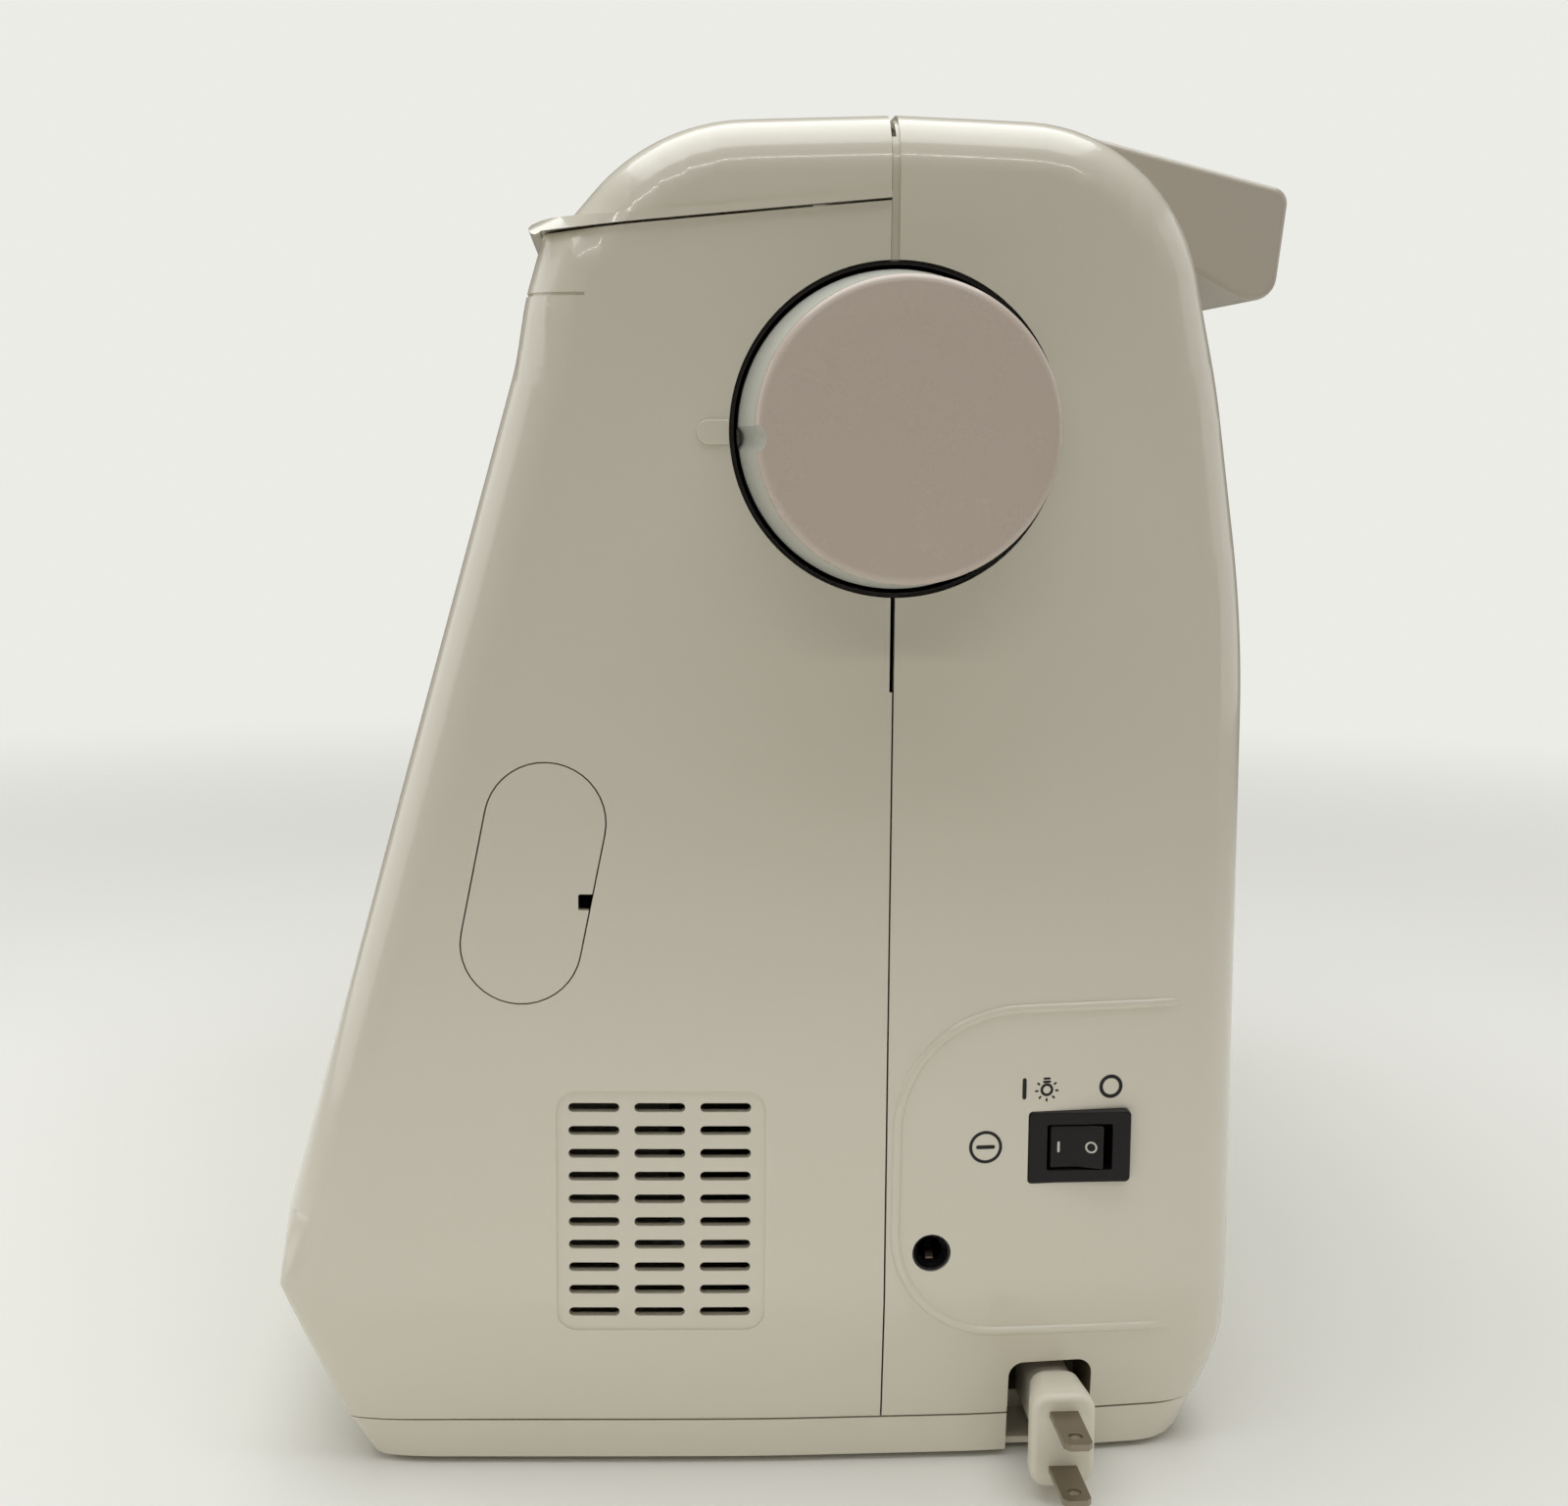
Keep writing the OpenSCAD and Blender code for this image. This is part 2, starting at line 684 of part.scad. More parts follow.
module blade(s) {
    translate([x_right + plug_out / 2, plug_y - blade_w / 2, plug_z + s * blade_pitch / 2 - blade_t / 2])
        cube([plug_out / 2 + blade_l, blade_w, blade_t]);
}
module plug_blades() {
    color("silver") difference() {
        for (s = [-1, 1]) blade(s);
        rod_z(0, 40, x_right + plug_out + blade_l - 4.5, plug_y, 1.5);
    }
}
reel_y = plug_y + cord_t / 2 - wound_r;
reel_x = x_right - recess_depth - 40;
reel_hub_r = 12;
wound_h = 7.2;
module cord_reel() {
    color("gray") {
        rod_z(floor_z, plug_z + wound_h / 2 + 1.5, reel_x, reel_y, reel_hub_r);
        for (z = [plug_z - wound_h / 2 - 1.5, plug_z + wound_h / 2]) rod_z(z, z + 1.5, reel_x, reel_y, wound_r + 3);
    }
}
module reel_cord() {
    color("ivory") {
        difference() {
            rod_z(plug_z - wound_h / 2, plug_z + wound_h / 2, reel_x, reel_y, wound_r);
            rod_z(0, 40, reel_x, reel_y, reel_hub_r);
        }
        block([reel_x, plug_y - cord_t / 2, plug_z - wound_h / 2],
              [x_right - 22, plug_y + cord_t / 2, plug_z + wound_h / 2]);
    }
}

// Frame, shafts and drive
frame_y = shaft_y + 24;
frame_t = 8;
belt_x = column_x + 46;
belt_w = 8;
drive_x = belt_x + 24;
drive_w = 6;
motor_x = column_x + 8;
motor_y = shaft_y - 55;
motor_z = shaft_z - 106;
motor_pulley_r = 7;
belt_gap = 0.3;
belt_t = 2;
upper_lugs = [needle_x + 38, column_x - 10, x_right - 40];
lower_lugs = [needle_x + 22, column_x - 4];
lug_w = 10;
gate_x = needle_x - 10.5;
gate_z = shaft_z + 5.5;
pin_r = 2.5;
guide_low_z = head_z + 12;
gate_low_z = head_z - 6;
take_y = shaft_y - 26;
take_z = shaft_z - 10.5;
lifter_y = frame_y + frame_t + 13;
lifter_z = head_z + 34;
hook_shaft_r = 4;
feed_y = frame_y - 8.5;

module main_frame() {
    color("lightslategray") difference() {
        union() {
            along_y(frame_y, frame_y + frame_t) polygon([
                [take_x - 12, shaft_z - 21], [take_x - 12, shaft_z + 13.5], [x_right - 28, shaft_z + 13.5],
                [x_right - 28, shaft_z - 14], [column_x + 44, shaft_z - 14], [column_x + 44, 22],
                [column_x + 6, 22], [column_x + 6, floor_z], [needle_x - 14, floor_z], [needle_x - 14, 22],
                [column_x - 4, 22], [column_x + 8, 34], [column_x + 8, shaft_z - 21]
            ]);
            block([needle_x - 14, frame_y, head_z + 6], [needle_x + 14, frame_y + frame_t, shaft_z]);
            for (x = upper_lugs)
                block([x - lug_w / 2, shaft_y - 13, shaft_z - 13], [x + lug_w / 2, frame_y + 1, shaft_z + 13]);
            for (x = lower_lugs)
                block([x - lug_w / 2, shaft_y - 8, 12], [x + lug_w / 2, frame_y + 1, low_shaft_z + 8]);
            block([needle_x - 9, hook_y - 9, 16], [needle_x + 9, frame_y + 1, 28]);
            block([needle_x - 6, feed_y - 4, 34], [needle_x + 6, frame_y + 1, 42]);
            block([needle_x - 6, frame_y, 20], [needle_x + 6, frame_y + frame_t, 42]);
            for (z = [guide_low_z, shaft_z - 0.5])
                block([needle_x - 6, presser_y - 6, z], [needle_x + 6, frame_y + 1, z + 10]);
            rod_y(shaft_y - 6, frame_y + 1, gate_x, gate_z, pin_r);
            block([take_x - 11, take_y - 6, take_z - 7], [take_x - 5, frame_y + 1, take_z + 7]);
            rod_x(take_x - 6, take_x + 3, take_y, take_z, pin_r);
            block([needle_x - 10, frame_y + frame_t - 1, lifter_z - 8], [needle_x - 4.4, lifter_y + 7, lifter_z + 8]);
            rod_x(needle_x - 5, needle_x + 4.2, lifter_y, lifter_z, pin_r);
            block([motor_x + 12, motor_y + 12, motor_z - 20], [motor_x + 20, frame_y + 1, motor_z + 20]);
        }
        for (x = upper_lugs) rod_x(x - lug_w, x + lug_w, shaft_y, shaft_z, bush_r);
        for (x = lower_lugs) rod_x(x - lug_w, x + lug_w, shaft_y, low_shaft_z, low_shaft_r + run_gap);
        rod_z(10, 30, needle_x, hook_y, hook_shaft_r + run_gap);
        rod_z(30, 44, needle_x, feed_y, pin_r + run_gap);
        rod_z(guide_low_z - 2, shaft_z + 20, needle_x, presser_y, bar_r + run_gap);
        rod_x(motor_x, motor_x + motor_length, motor_y, motor_z, motor_r);
    }
}
crank_r = needle_stroke / 2;
module upper_shaft() {
    color("silver") {
        rod_x(needle_x + 26, x_right + 11, shaft_y, shaft_z, shaft_r);
        rod_x(needle_x + 24, needle_x + 31, shaft_y, shaft_z, crank_r + 5);
        rod_x(needle_x + 18.5, needle_x + 25, shaft_y, shaft_z + crank_r, 3);
        rod_x(belt_x, belt_x + belt_w, shaft_y, shaft_z, pulley_r);
        rod_x(drive_x, drive_x + drive_w, shaft_y, shaft_z, drive_pulley_r);
    }
}
module shaft_bushes() {
    color("goldenrod") for (x = upper_lugs) difference() {
        rod_x(x - lug_w / 2 - 0.8, x + lug_w / 2 + 0.8, shaft_y, shaft_z, bush_r);
        rod_x(x - lug_w, x + lug_w, shaft_y, shaft_z, shaft_r + run_gap);
    }
}
// A belt round two pulleys, given as [y, z, radius]
module belt(x, w, a, b) {
    along_x(x, x + w) difference() {
        belt_line(a, b, belt_gap + belt_t);
        belt_line(a, b, belt_gap);
    }
}
module belt_line(a, b, grow) {
    hull() for (p = [a, b]) translate([p[0], p[1]]) circle(p[2] + grow);
}
module timing_belt() {
    color("black") belt(belt_x, belt_w, [shaft_y, shaft_z, pulley_r], [shaft_y, low_shaft_z, pulley_r]);
}
module motor_belt() {
    color("black") belt(drive_x, drive_w, [shaft_y, shaft_z, drive_pulley_r], [motor_y, motor_z, motor_pulley_r]);
}
gear_r = hook_ahead / 2 - 0.15;
module lower_shaft() {
    color("silver") {
        rod_x(needle_x - 8, belt_x + belt_w + 4, shaft_y, low_shaft_z, low_shaft_r);
        rod_x(needle_x - 5, needle_x + 5, shaft_y, low_shaft_z, gear_r);
        rod_x(belt_x, belt_x + belt_w, shaft_y, low_shaft_z, pulley_r);
    }
}
module drive_motor() {
    color("dimgray") difference() {
        rod_x(motor_x, motor_x + motor_length, motor_y, motor_z, motor_r);
        rod_x(motor_x + 20, motor_x + motor_length + 1, motor_y, motor_z, 3 + run_gap);
    }
}
module motor_shaft() {
    color("silver") {
        rod_x(motor_x + 21, drive_x + drive_w + 2, motor_y, motor_z, 3);
        rod_x(drive_x, drive_x + drive_w, motor_y, motor_z, motor_pulley_r);
    }
}

// Hook, bobbin and feed
cup_z0 = low_shaft_z + gear_r + 0.6;
cup_z1 = bed_z - 6;
cup_wall = 1.6;
module hook() {
    color("silver") {
        difference() {
            rod_z(cup_z0, cup_z1, needle_x, hook_y, hook_r);
            rod_z(cup_z0 + 2.2, cup_z1 + 1, needle_x, hook_y, hook_r - cup_wall);
        }
        rod_z(low_shaft_z - 4, low_shaft_z + 4, needle_x, hook_y, gear_r);
        rod_z(17, cup_z0 + 1, needle_x, hook_y, hook_shaft_r);
    }
}
case_r = hook_r - cup_wall - 0.4;
case_z = cup_z0 + 2.6;
module bobbin_case() {
    color("black") {
        difference() {
            rod_z(case_z, cup_z1 + 2.4, needle_x, hook_y, case_r);
            rod_z(case_z + 1.4, cup_z1 + 3, needle_x, hook_y, bobbin_r + 0.6);
        }
        rod_z(case_z + 1, case_z + 8, needle_x, hook_y, 2.4);
        block([needle_x + case_r - 2, hook_y - 3, cup_z1 + 0.4], [needle_x + 22, hook_y + 3, cup_z1 + 2.4]);
    }
}
bobbin_h = 11.4;
module bobbin() {
    color("lightcyan") translate([needle_x, hook_y, case_z + 1.7]) rotate_extrude() polygon([
        [2.45, 0], [bobbin_r, 0], [bobbin_r, 0.9], [3.6, 0.9], [3.6, bobbin_h - 0.9],
        [bobbin_r, bobbin_h - 0.9], [bobbin_r, bobbin_h], [2.45, bobbin_h]
    ]);
}
plate_y0 = hook_y + 5.5;
plate_x0 = needle_x - 24;
plate_x1 = needle_x + 30;
plate_y1 = shaft_y + 23;
cover_y0 = hook_y - 25.5;
module needle_plate() {
    color("silver") difference() {
        union() {
            block([plate_x0, plate_y0, bed_z - plate_t], [plate_x1, plate_y1, bed_z]);
            block([needle_x + 22.3, hook_y + 5.6, cup_z1 - 2], [needle_x + 25.5, hook_y + 9, bed_z - plate_t]);
        }
        translate([needle_x, shaft_y, bed_z - 5]) linear_extrude(10) stadium(9, 2.6);
        for (s = [-1, 1])
            block([needle_x + s * 7 - 1.8, feed_y - 12.6, bed_z - 5], [needle_x + s * 7 + 1.8, feed_y + 4, bed_z + 5]);
    }
}
bobbin_axis_z = bed_z - plate_t / 2;
bobbin_axis_y = cover_y0 + 1.2;
module bobbin_cover() {
    color("lightcyan") {
        block([needle_x - 20, bobbin_axis_y, bed_z - plate_t], [needle_x + 20, plate_y0 - cover_gap, bed_z]);
        rod_x(needle_x - 20, needle_x + 20, bobbin_axis_y, bobbin_axis_z, plate_t / 2);
        rod_x(needle_x - 22, needle_x + 22, bobbin_axis_y, bobbin_axis_z, 0.6);
    }
}
dog_up = 0.8;
module feed_dogs() {
    color("silver") {
        block([needle_x - 9, feed_y - 9, bed_z - 12], [needle_x + 9, feed_y + 1, bed_z - 9]);
        for (s = [-1, 1]) {
            block([needle_x + s * 7 - 1.3, feed_y - 9.6, bed_z - 10], [needle_x + s * 7 + 1.3, feed_y + 1.4, bed_z]);
            for (i = [0:6]) translate([needle_x + s * 7 - 1.3, feed_y - 9.4 + i * 1.5, bed_z])
                rotate([90, 0, 90]) linear_extrude(2.6) polygon([[0, -0.1], [1.3, -0.1], [0.65, dog_up]]);
        }
    }
}
module feed_lift_bar() {
    color("silver") {
        block([needle_x - 6, feed_y - 7, bed_z - 19], [needle_x + 6, feed_y + 4, bed_z - 12 - cover_gap]);
        rod_z(32, bed_z - 18, needle_x, feed_y, pin_r);
    }
}

// Needle bar, presser bar and take-up
module needle_gate() {
    color("gray") difference() {
        union() {
            block([needle_x - 14, shaft_y - 5, gate_low_z], [needle_x - 8, shaft_y + 5, gate_z + 5]);
            for (z = [gate_low_z, gate_z - 5])
                block([needle_x - 9, shaft_y - 5, z], [needle_x + 6, shaft_y + 5, z + 10]);
        }
        rod_z(gate_low_z - 1, gate_z + 8, needle_x, shaft_y, bar_r + run_gap);
        rod_y(shaft_y - 8, shaft_y + 8, gate_x, gate_z, pin_r + run_gap);
    }
}
clamp_z = head_z - 52;
bar_top = shaft_z + 38;
link_z = shaft_z - crank_r - 14;
link_l = shaft_z + crank_r - link_z;
module needle_bar() {
    color("silver") {
        rod_z(clamp_z + 12, bar_top, needle_x, shaft_y, bar_r);
        rod_x(needle_x, needle_x + 16.5, shaft_y, link_z, pin_r);
        rod_z(link_z - 5, link_z + 5, needle_x, shaft_y, 5.5);
    }
}
module crank_link() {
    color("gray") along_x(needle_x + 11.5, needle_x + 16) translate([shaft_y, link_z]) difference() {
        union() {
            circle(5.5);
            translate([-3, 0]) square([6, link_l]);
            translate([0, link_l]) circle(5.5);
        }
        circle(pin_r + run_gap);
        translate([0, link_l]) circle(3 + run_gap);
    }
}
needle_r = 0.45;
shank_r = 1;
needle_tip = clamp_z - 30;
module needle_clamp() {
    color("silver") difference() {
        union() {
            rod_z(clamp_z, clamp_z + 12, needle_x, shaft_y, 5);
            rod_x(needle_x + 4, needle_x + 14, shaft_y, clamp_z + 6, 2.4);
        }
        rod_z(clamp_z - 1, clamp_z + 8, needle_x, shaft_y, shank_r);
    }
}
module needle() {
    color("silver") {
        rod_z(clamp_z - 6, clamp_z + 8, needle_x, shaft_y, shank_r);
        rod_z(needle_tip + 3, clamp_z - 5, needle_x, shaft_y, needle_r);
        translate([needle_x, shaft_y, needle_tip]) cylinder(h = 3, r1 = 0.1, r2 = needle_r);
    }
}
foot_z = bed_z + dog_up + cover_gap;
foot_y = shaft_y + 8.5;
foot_pin_z = foot_z + 7;
foot_t = 1.8;
module presser_bar() {
    color("silver") {
        rod_z(foot_z + 15, shaft_z + 22, needle_x, presser_y, bar_r);
        block([needle_x - 4, foot_y - 2, foot_z + 5], [needle_x + 4, presser_y + bar_r, foot_z + 19]);
        rod_x(needle_x - 6, needle_x + 6, foot_y, foot_pin_z, 1.2);
    }
}
module presser_foot() {
    color("silver") difference() {
        union() {
            translate([needle_x, shaft_y + 1, foot_z]) linear_extrude(foot_t) soft_rect(21, 26, 3);
            for (s = [-1, 1]) translate([needle_x + s * 5.4 - 1, foot_y, 0])
                block([0, -2.3, foot_z + 1], [2, 2.3, foot_pin_z + 2]);
        }
        translate([needle_x, shaft_y, foot_z - 1]) linear_extrude(5) stadium(10, 3.4);
        rod_x(needle_x - 12, needle_x + 12, foot_y, foot_pin_z, 1.2 + run_gap);
    }
}
lifter_l = 48;
lifter_drop = 25;
module presser_lifter() {
    color("gainsboro") along_x(needle_x - 4, needle_x + 4) translate([lifter_y, lifter_z]) difference() {
        union() {
            circle(7);
            rotate(-lifter_drop) polygon(rounded([[0, -4, 0], [lifter_l, -5.5, 4], [lifter_l, 5, 4], [0, 5, 0]]));
        }
        circle(pin_r + run_gap);
    }
}
take_l = 75;
take_rise = 34;
module take_up_lever() {
    color("silver") along_x(take_x - 1.5, take_x + 1.5) translate([take_y, take_z]) difference() {
        union() {
            circle(6);
            rotate(180 - take_rise) polygon(rounded([[0, -3, 0], [take_l, -3, 2.5], [take_l, 3, 2.5], [0, 3, 0]]));
        }
        circle(pin_r + run_gap);
        rotate(180 - take_rise) translate([take_l - 4, 0]) circle(1.4);
    }
}
module tension_dial() {
    color("gainsboro") on_front(dial_x, dial_z) {
        rod_x(-dial_t / 2, dial_t / 2, dial_in, 0, dial_r);
        rod_x(-dial_t / 2 - 4, dial_t / 2 + 4, dial_in, 0, 3);
    }
}

// Free arm, accessory table and its lid
arm_wall = 2.5;
table_gap = 0.5;
table_y0 = y_front + 10;
table_y1 = y_rear - 16;
table_x0 = arm_x - 14;
table_x1 = column_x - table_gap;
table_t = 2.5;
table_hinge_y = arm_y0 - table_gap - table_t - 2;
table_pin_r = 1;
module arm_outline(inset) {
    polygon(rounded([
        [arm_x + inset, arm_y0 + inset, 14], [column_x - 0.1, arm_y0 + inset, 0],
        [column_x - 0.1, arm_y1 - inset, 0], [arm_x + inset, arm_y1 - inset, 14]
    ]));
}
module free_arm_cover() {
    color("ivory") difference() {
        translate([0, 0, split_z]) linear_extrude(bed_z - split_z) arm_outline(0);
        translate([0, 0, split_z - 1]) linear_extrude(bed_z - split_z + 1 - arm_wall) arm_outline(arm_wall);
        block([column_x - 5, arm_y0 + arm_wall, split_z - 1], [column_x + 1, arm_y1 - arm_wall, bed_z - arm_wall]);
        block([plate_x0 - cover_gap, plate_y0 - cover_gap, bed_z - 5],
              [plate_x1 + cover_gap, plate_y1 + cover_gap, bed_z + 1]);
        block([needle_x - 20 - cover_gap, bobbin_axis_y - 1.6, bed_z - 5],
              [needle_x + 20 + cover_gap, plate_y0, bed_z + 1]);
        rod_x(needle_x - 22.3, needle_x + 22.3, bobbin_axis_y, bobbin_axis_z, 0.6 + run_gap);
    }
}
module arm_opening() {
    block([column_x - 1, arm_y0 + arm_wall, split_z - 1], [column_x + wall + 1, arm_y1 - arm_wall, bed_z - arm_wall]);
}
module table_plan(inset) {
    polygon(rounded([
        [table_x0 + inset, table_y0 + inset, 16], [table_x1 - inset, table_y0 + inset, 2],
        [table_x1 - inset, table_y1 - inset, 2], [table_x0 + inset, table_y1 - inset, 22]
    ]));
}
module accessory_table() {
    color("ivory") difference() {
        translate([0, 0, foot_height]) linear_extrude(bed_z - foot_height) table_plan(0);
        block([arm_x - table_gap, arm_y0 - table_gap, 0], [far, arm_y1 + table_gap, far]);
        // Room for accessories, under the lid
        block([arm_x + 4, table_y0 + 4, foot_height + 3], [table_x1 - 4, table_hinge_y + 1.6, far]);
        // Hollow left and rear limbs, open below
        translate([0, 0, -1]) linear_extrude(bed_z + 1 - table_t) difference() {
            table_plan(table_t);
            translate([arm_x - table_gap - table_t, table_y0]) square([far, table_y1 - table_y0 - 16]);
        }
        translate([0, 0, -1]) linear_extrude(bed_z + 1 - table_t) difference() {
            table_plan(table_t);
            translate([table_x0, table_y0 - 1]) square([far, arm_y1 + table_gap + table_t - table_y0 + 1]);
        }
        rod_x(arm_x + 1, table_x1 - 1, table_hinge_y, bed_z - 1.2, table_pin_r + run_gap);
    }
}
module table_lid() {
    color("ivory") {
        block([arm_x + 4 + cover_gap, table_y0 + 4 + cover_gap, bed_z - 2.2],
              [table_x1 - 4 - cover_gap, table_hinge_y - 0.5, bed_z]);
        rod_x(arm_x + 4 + cover_gap, table_x1 - 4 - cover_gap, table_hinge_y - 0.2, bed_z - 1.2, 0.8);
        rod_x(arm_x + 1.5, table_x1 - 1.5, table_hinge_y, bed_z - 1.2, table_pin_r);
    }
}

// Controls on the sloping front
module display_window() {
    color("darkslategray") on_front(display_x, display_z) {
        along_y(-0.3, wall) soft_rect(display_l, display_h, 4);
        along_y(wall, wall + 6) square([display_l - 8, display_h - 8], center = true);
    }
}
module key(i) {
    color("gainsboro") on_front(key_x(i), keys_z) along_y(-2, board_in - key_travel - cover_gap)
        soft_rect(key_w, key_h, 2);
}
module front_button(i) {
    color("gainsboro") on_front(button_x(i), buttons_z) rod_y(-2.2, 8, 0, 0, button_r);
}
module speed_slider() {
    color("gainsboro") on_front(slider_x - slider_travel / 2, slider_z) {
        block([-3.5, -4.5, -1.6], [3.5, 5, 1.6]);
        block([-4.5, -4.5, -5], [4.5, -0.4, 5]);
        block([-4.5, wall + 0.4, -5], [4.5, wall + 2, 5]);
    }
}
board_in = 14;
module control_board() {
    color("darkgreen") on_front(display_x, display_z - 22) {
        block([-50, board_in, -34], [50, board_in + 1.6, 44]);
        for (x = [-46, 46], z = [-30, 40]) rod_y(wall, board_in, x, z, 3);
    }
}

// Spool pin, cap and bobbin winder under the lid
spool_y = (tray_y0 + tray_y1) / 2;
spool_z = seam_z(spool_y) - 1;
spool_r = 2.5;
module spool_pin() {
    color("ivory") {
        rod_x(tray_x1 - 100, tray_x1 - 4, spool_y, spool_z, spool_r);
        block([tray_x1 - 10, spool_y - 5, tray_z + 2], [tray_x1 - 4, spool_y + 5, spool_z + 4]);
    }
}
module spool_cap() {
    color("ivory") difference() {
        rod_x(tray_x1 - 96, tray_x1 - 92, spool_y, spool_z, 11);
        rod_x(tray_x1 - 97, tray_x1 - 91, spool_y, spool_z, spool_r + run_gap);
    }
}
winder_seat = seam_z(winder_y);
module bobbin_winder() {
    color("ivory") {
        rod_z(winder_seat - 14, winder_seat + 10, winder_x, winder_y, winder_r);
        rod_z(winder_seat + 2.5, winder_seat + 4.5, winder_x, winder_y, 11);
        rod_z(winder_seat - 14, winder_seat - 9, winder_x, winder_y, 9);
    }
}

base_cover();
rubber_feet();
front_shell();
rear_shell();
face_cover();
top_lid();
lid_hinge_pins();
carry_handle();
handle_pins();
handwheel();
wheel_ring();
service_cover();
switch_bezel();
power_rocker();
pedal_jack();
plug_body();
plug_blades();
cord_reel();
reel_cord();
main_frame();
upper_shaft();
shaft_bushes();
timing_belt();
lower_shaft();
drive_motor();
motor_shaft();
motor_belt();
hook();
bobbin_case();
bobbin();
bobbin_cover();
needle_plate();
feed_dogs();
feed_lift_bar();
needle_gate();
needle_bar();
crank_link();
needle_clamp();
needle();
presser_bar();
presser_foot();
presser_lifter();
take_up_lever();
tension_dial();
free_arm_cover();
accessory_table();
table_lid();
display_window();
key(0);  // key_1
key(1);  // key_2
key(2);  // key_3
key(3);  // key_4
front_button(0);  // start_stop_button
front_button(1);  // reverse_button
front_button(2);  // needle_position_button
speed_slider();
spool_pin();
spool_cap();
bobbin_winder();
control_board();
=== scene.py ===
"""A household sewing machine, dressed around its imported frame.

Lengths in the shaping code are millimetres; MM turns them into Blender's metres.
X runs to the handwheel end, Y to the rear and Z up from the table.
"""

import math
from contextlib import contextmanager

import bmesh
import bpy
from mathutils import Matrix, Vector


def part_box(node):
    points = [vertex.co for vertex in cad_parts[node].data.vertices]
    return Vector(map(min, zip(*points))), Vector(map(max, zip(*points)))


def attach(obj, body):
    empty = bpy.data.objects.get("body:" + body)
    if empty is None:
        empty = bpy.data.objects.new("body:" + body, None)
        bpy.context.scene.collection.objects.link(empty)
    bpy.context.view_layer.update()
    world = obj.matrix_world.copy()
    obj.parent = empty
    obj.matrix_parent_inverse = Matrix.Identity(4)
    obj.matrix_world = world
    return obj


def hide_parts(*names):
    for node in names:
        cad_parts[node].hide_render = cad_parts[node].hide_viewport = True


bl_info = {
    "name": "Household Sewing Machine",
    "version": (1, 0, 0),
    "blender": (4, 5, 0),
    "location": "3D View > Sidebar > Sewing",
    "description": "Models the covers, controls and sewing parts of a household sewing machine",
    "category": "Object",
}

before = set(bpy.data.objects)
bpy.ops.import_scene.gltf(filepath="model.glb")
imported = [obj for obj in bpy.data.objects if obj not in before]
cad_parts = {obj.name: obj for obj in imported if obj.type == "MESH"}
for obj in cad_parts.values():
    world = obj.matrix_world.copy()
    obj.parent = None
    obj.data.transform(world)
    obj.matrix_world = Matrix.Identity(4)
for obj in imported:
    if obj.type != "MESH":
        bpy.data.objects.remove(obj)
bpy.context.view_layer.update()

MM = 0.001
AXES = {"X": Vector((1, 0, 0)), "Y": Vector((0, 1, 0)), "Z": Vector((0, 0, 1))}
FINISHES = {}


# ---------------------------------------------------------------- places shared with the frame

SHAFT = SHAFT_Y, SHAFT_Z = 17.45, 236.5
X_RIGHT, X_LEFT = 186.25, -223.75
Y_FRONT, Y_REAR = -119.38, 98.55
TOP_Z, FOOT_Z, SPLIT_Z, BASE_Z = 304.3, 4.6, 11.2, 1.5
CORNER_Z, CREASE_Z = 43.5, 39.5
COLUMN_X, HEAD_X, FACE_X = 56.25, -111.75, -197.75
ARM_Z, HEAD_Z, BED_Z = 196.0, 166.0, 72.0
ARM_Y0, ARM_Y1 = -30.55, 61.45
NEEDLE_X = -135.75
LEAN = math.radians(15.44)
SLOPE_Y, SLOPE_Z = -116.95, 61.5
LID_X = -113.75
SEAM_FRONT_Z, SEAM_REAR_Z = 278.0, 285.4
HANDLE_X0, HANDLE_X1 = -45.75, 126.25
PIVOT = PIVOT_Y, PIVOT_Z = 62.55, 294.3
HANDLE_Y = 119.55
FAR = 900.0


def front_y(z):
    """Y of the sloping front at height z."""
    return SLOPE_Y + (z - SLOPE_Z) * math.tan(LEAN)


SEAM_Y = front_y(SEAM_FRONT_Z)


def seam_z(y):
    """Height of the lid's seam at y."""
    return SEAM_FRONT_Z + (y - SEAM_Y) * ((SEAM_REAR_Z - SEAM_FRONT_Z) / (SHAFT_Y - SEAM_Y))


def box_mm(node):
    """Lowest and highest corner of a CAD node, in millimetres."""
    return [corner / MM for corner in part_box(node)]


# ---------------------------------------------------------------- outlines


def rounded(corners, steps=9):
    """Points of a closed outline whose corners (a, b, radius) are rounded by arcs."""
    points = []
    for i, (a, b, radius) in enumerate(corners):
        here = Vector((a, b))
        if radius == 0:
            points.append(here)
            continue
        before = (Vector(corners[i - 1][:2]) - here).normalized()
        after = (Vector(corners[(i + 1) % len(corners)][:2]) - here).normalized()
        half = math.acos(max(-1, min(1, before.dot(after)))) / 2
        centre = here + (before + after).normalized() * radius / math.sin(half)
        start = here + before * radius / math.tan(half) - centre
        side = -1 if before.x * after.y - before.y * after.x > 0 else 1
        for k in range(steps + 1):
            t = side * (math.pi - 2 * half) * k / steps
            points.append(centre + Vector((start.x * math.cos(t) - start.y * math.sin(t),
                                           start.x * math.sin(t) + start.y * math.cos(t))))
    return points


def drawn_in(points, inset):
    """The outline moved inwards by inset, with its corners kept sharp."""
    count = len(points)
    area = sum(points[i - 1].x * points[i].y - points[i - 1].y * points[i].x for i in range(count))
    side = 1 if area > 0 else -1
    moved = []
    for i, here in enumerate(points):
        before = (here - points[i - 1]).normalized()
        after = (points[(i + 1) % count] - here).normalized()
        normal = (before + after).normalized()
        normal = Vector((-normal.y, normal.x)) * side
        moved.append(here + normal * inset / max(0.3, normal.dot(Vector((-before.y, before.x)) * side)))
    return moved


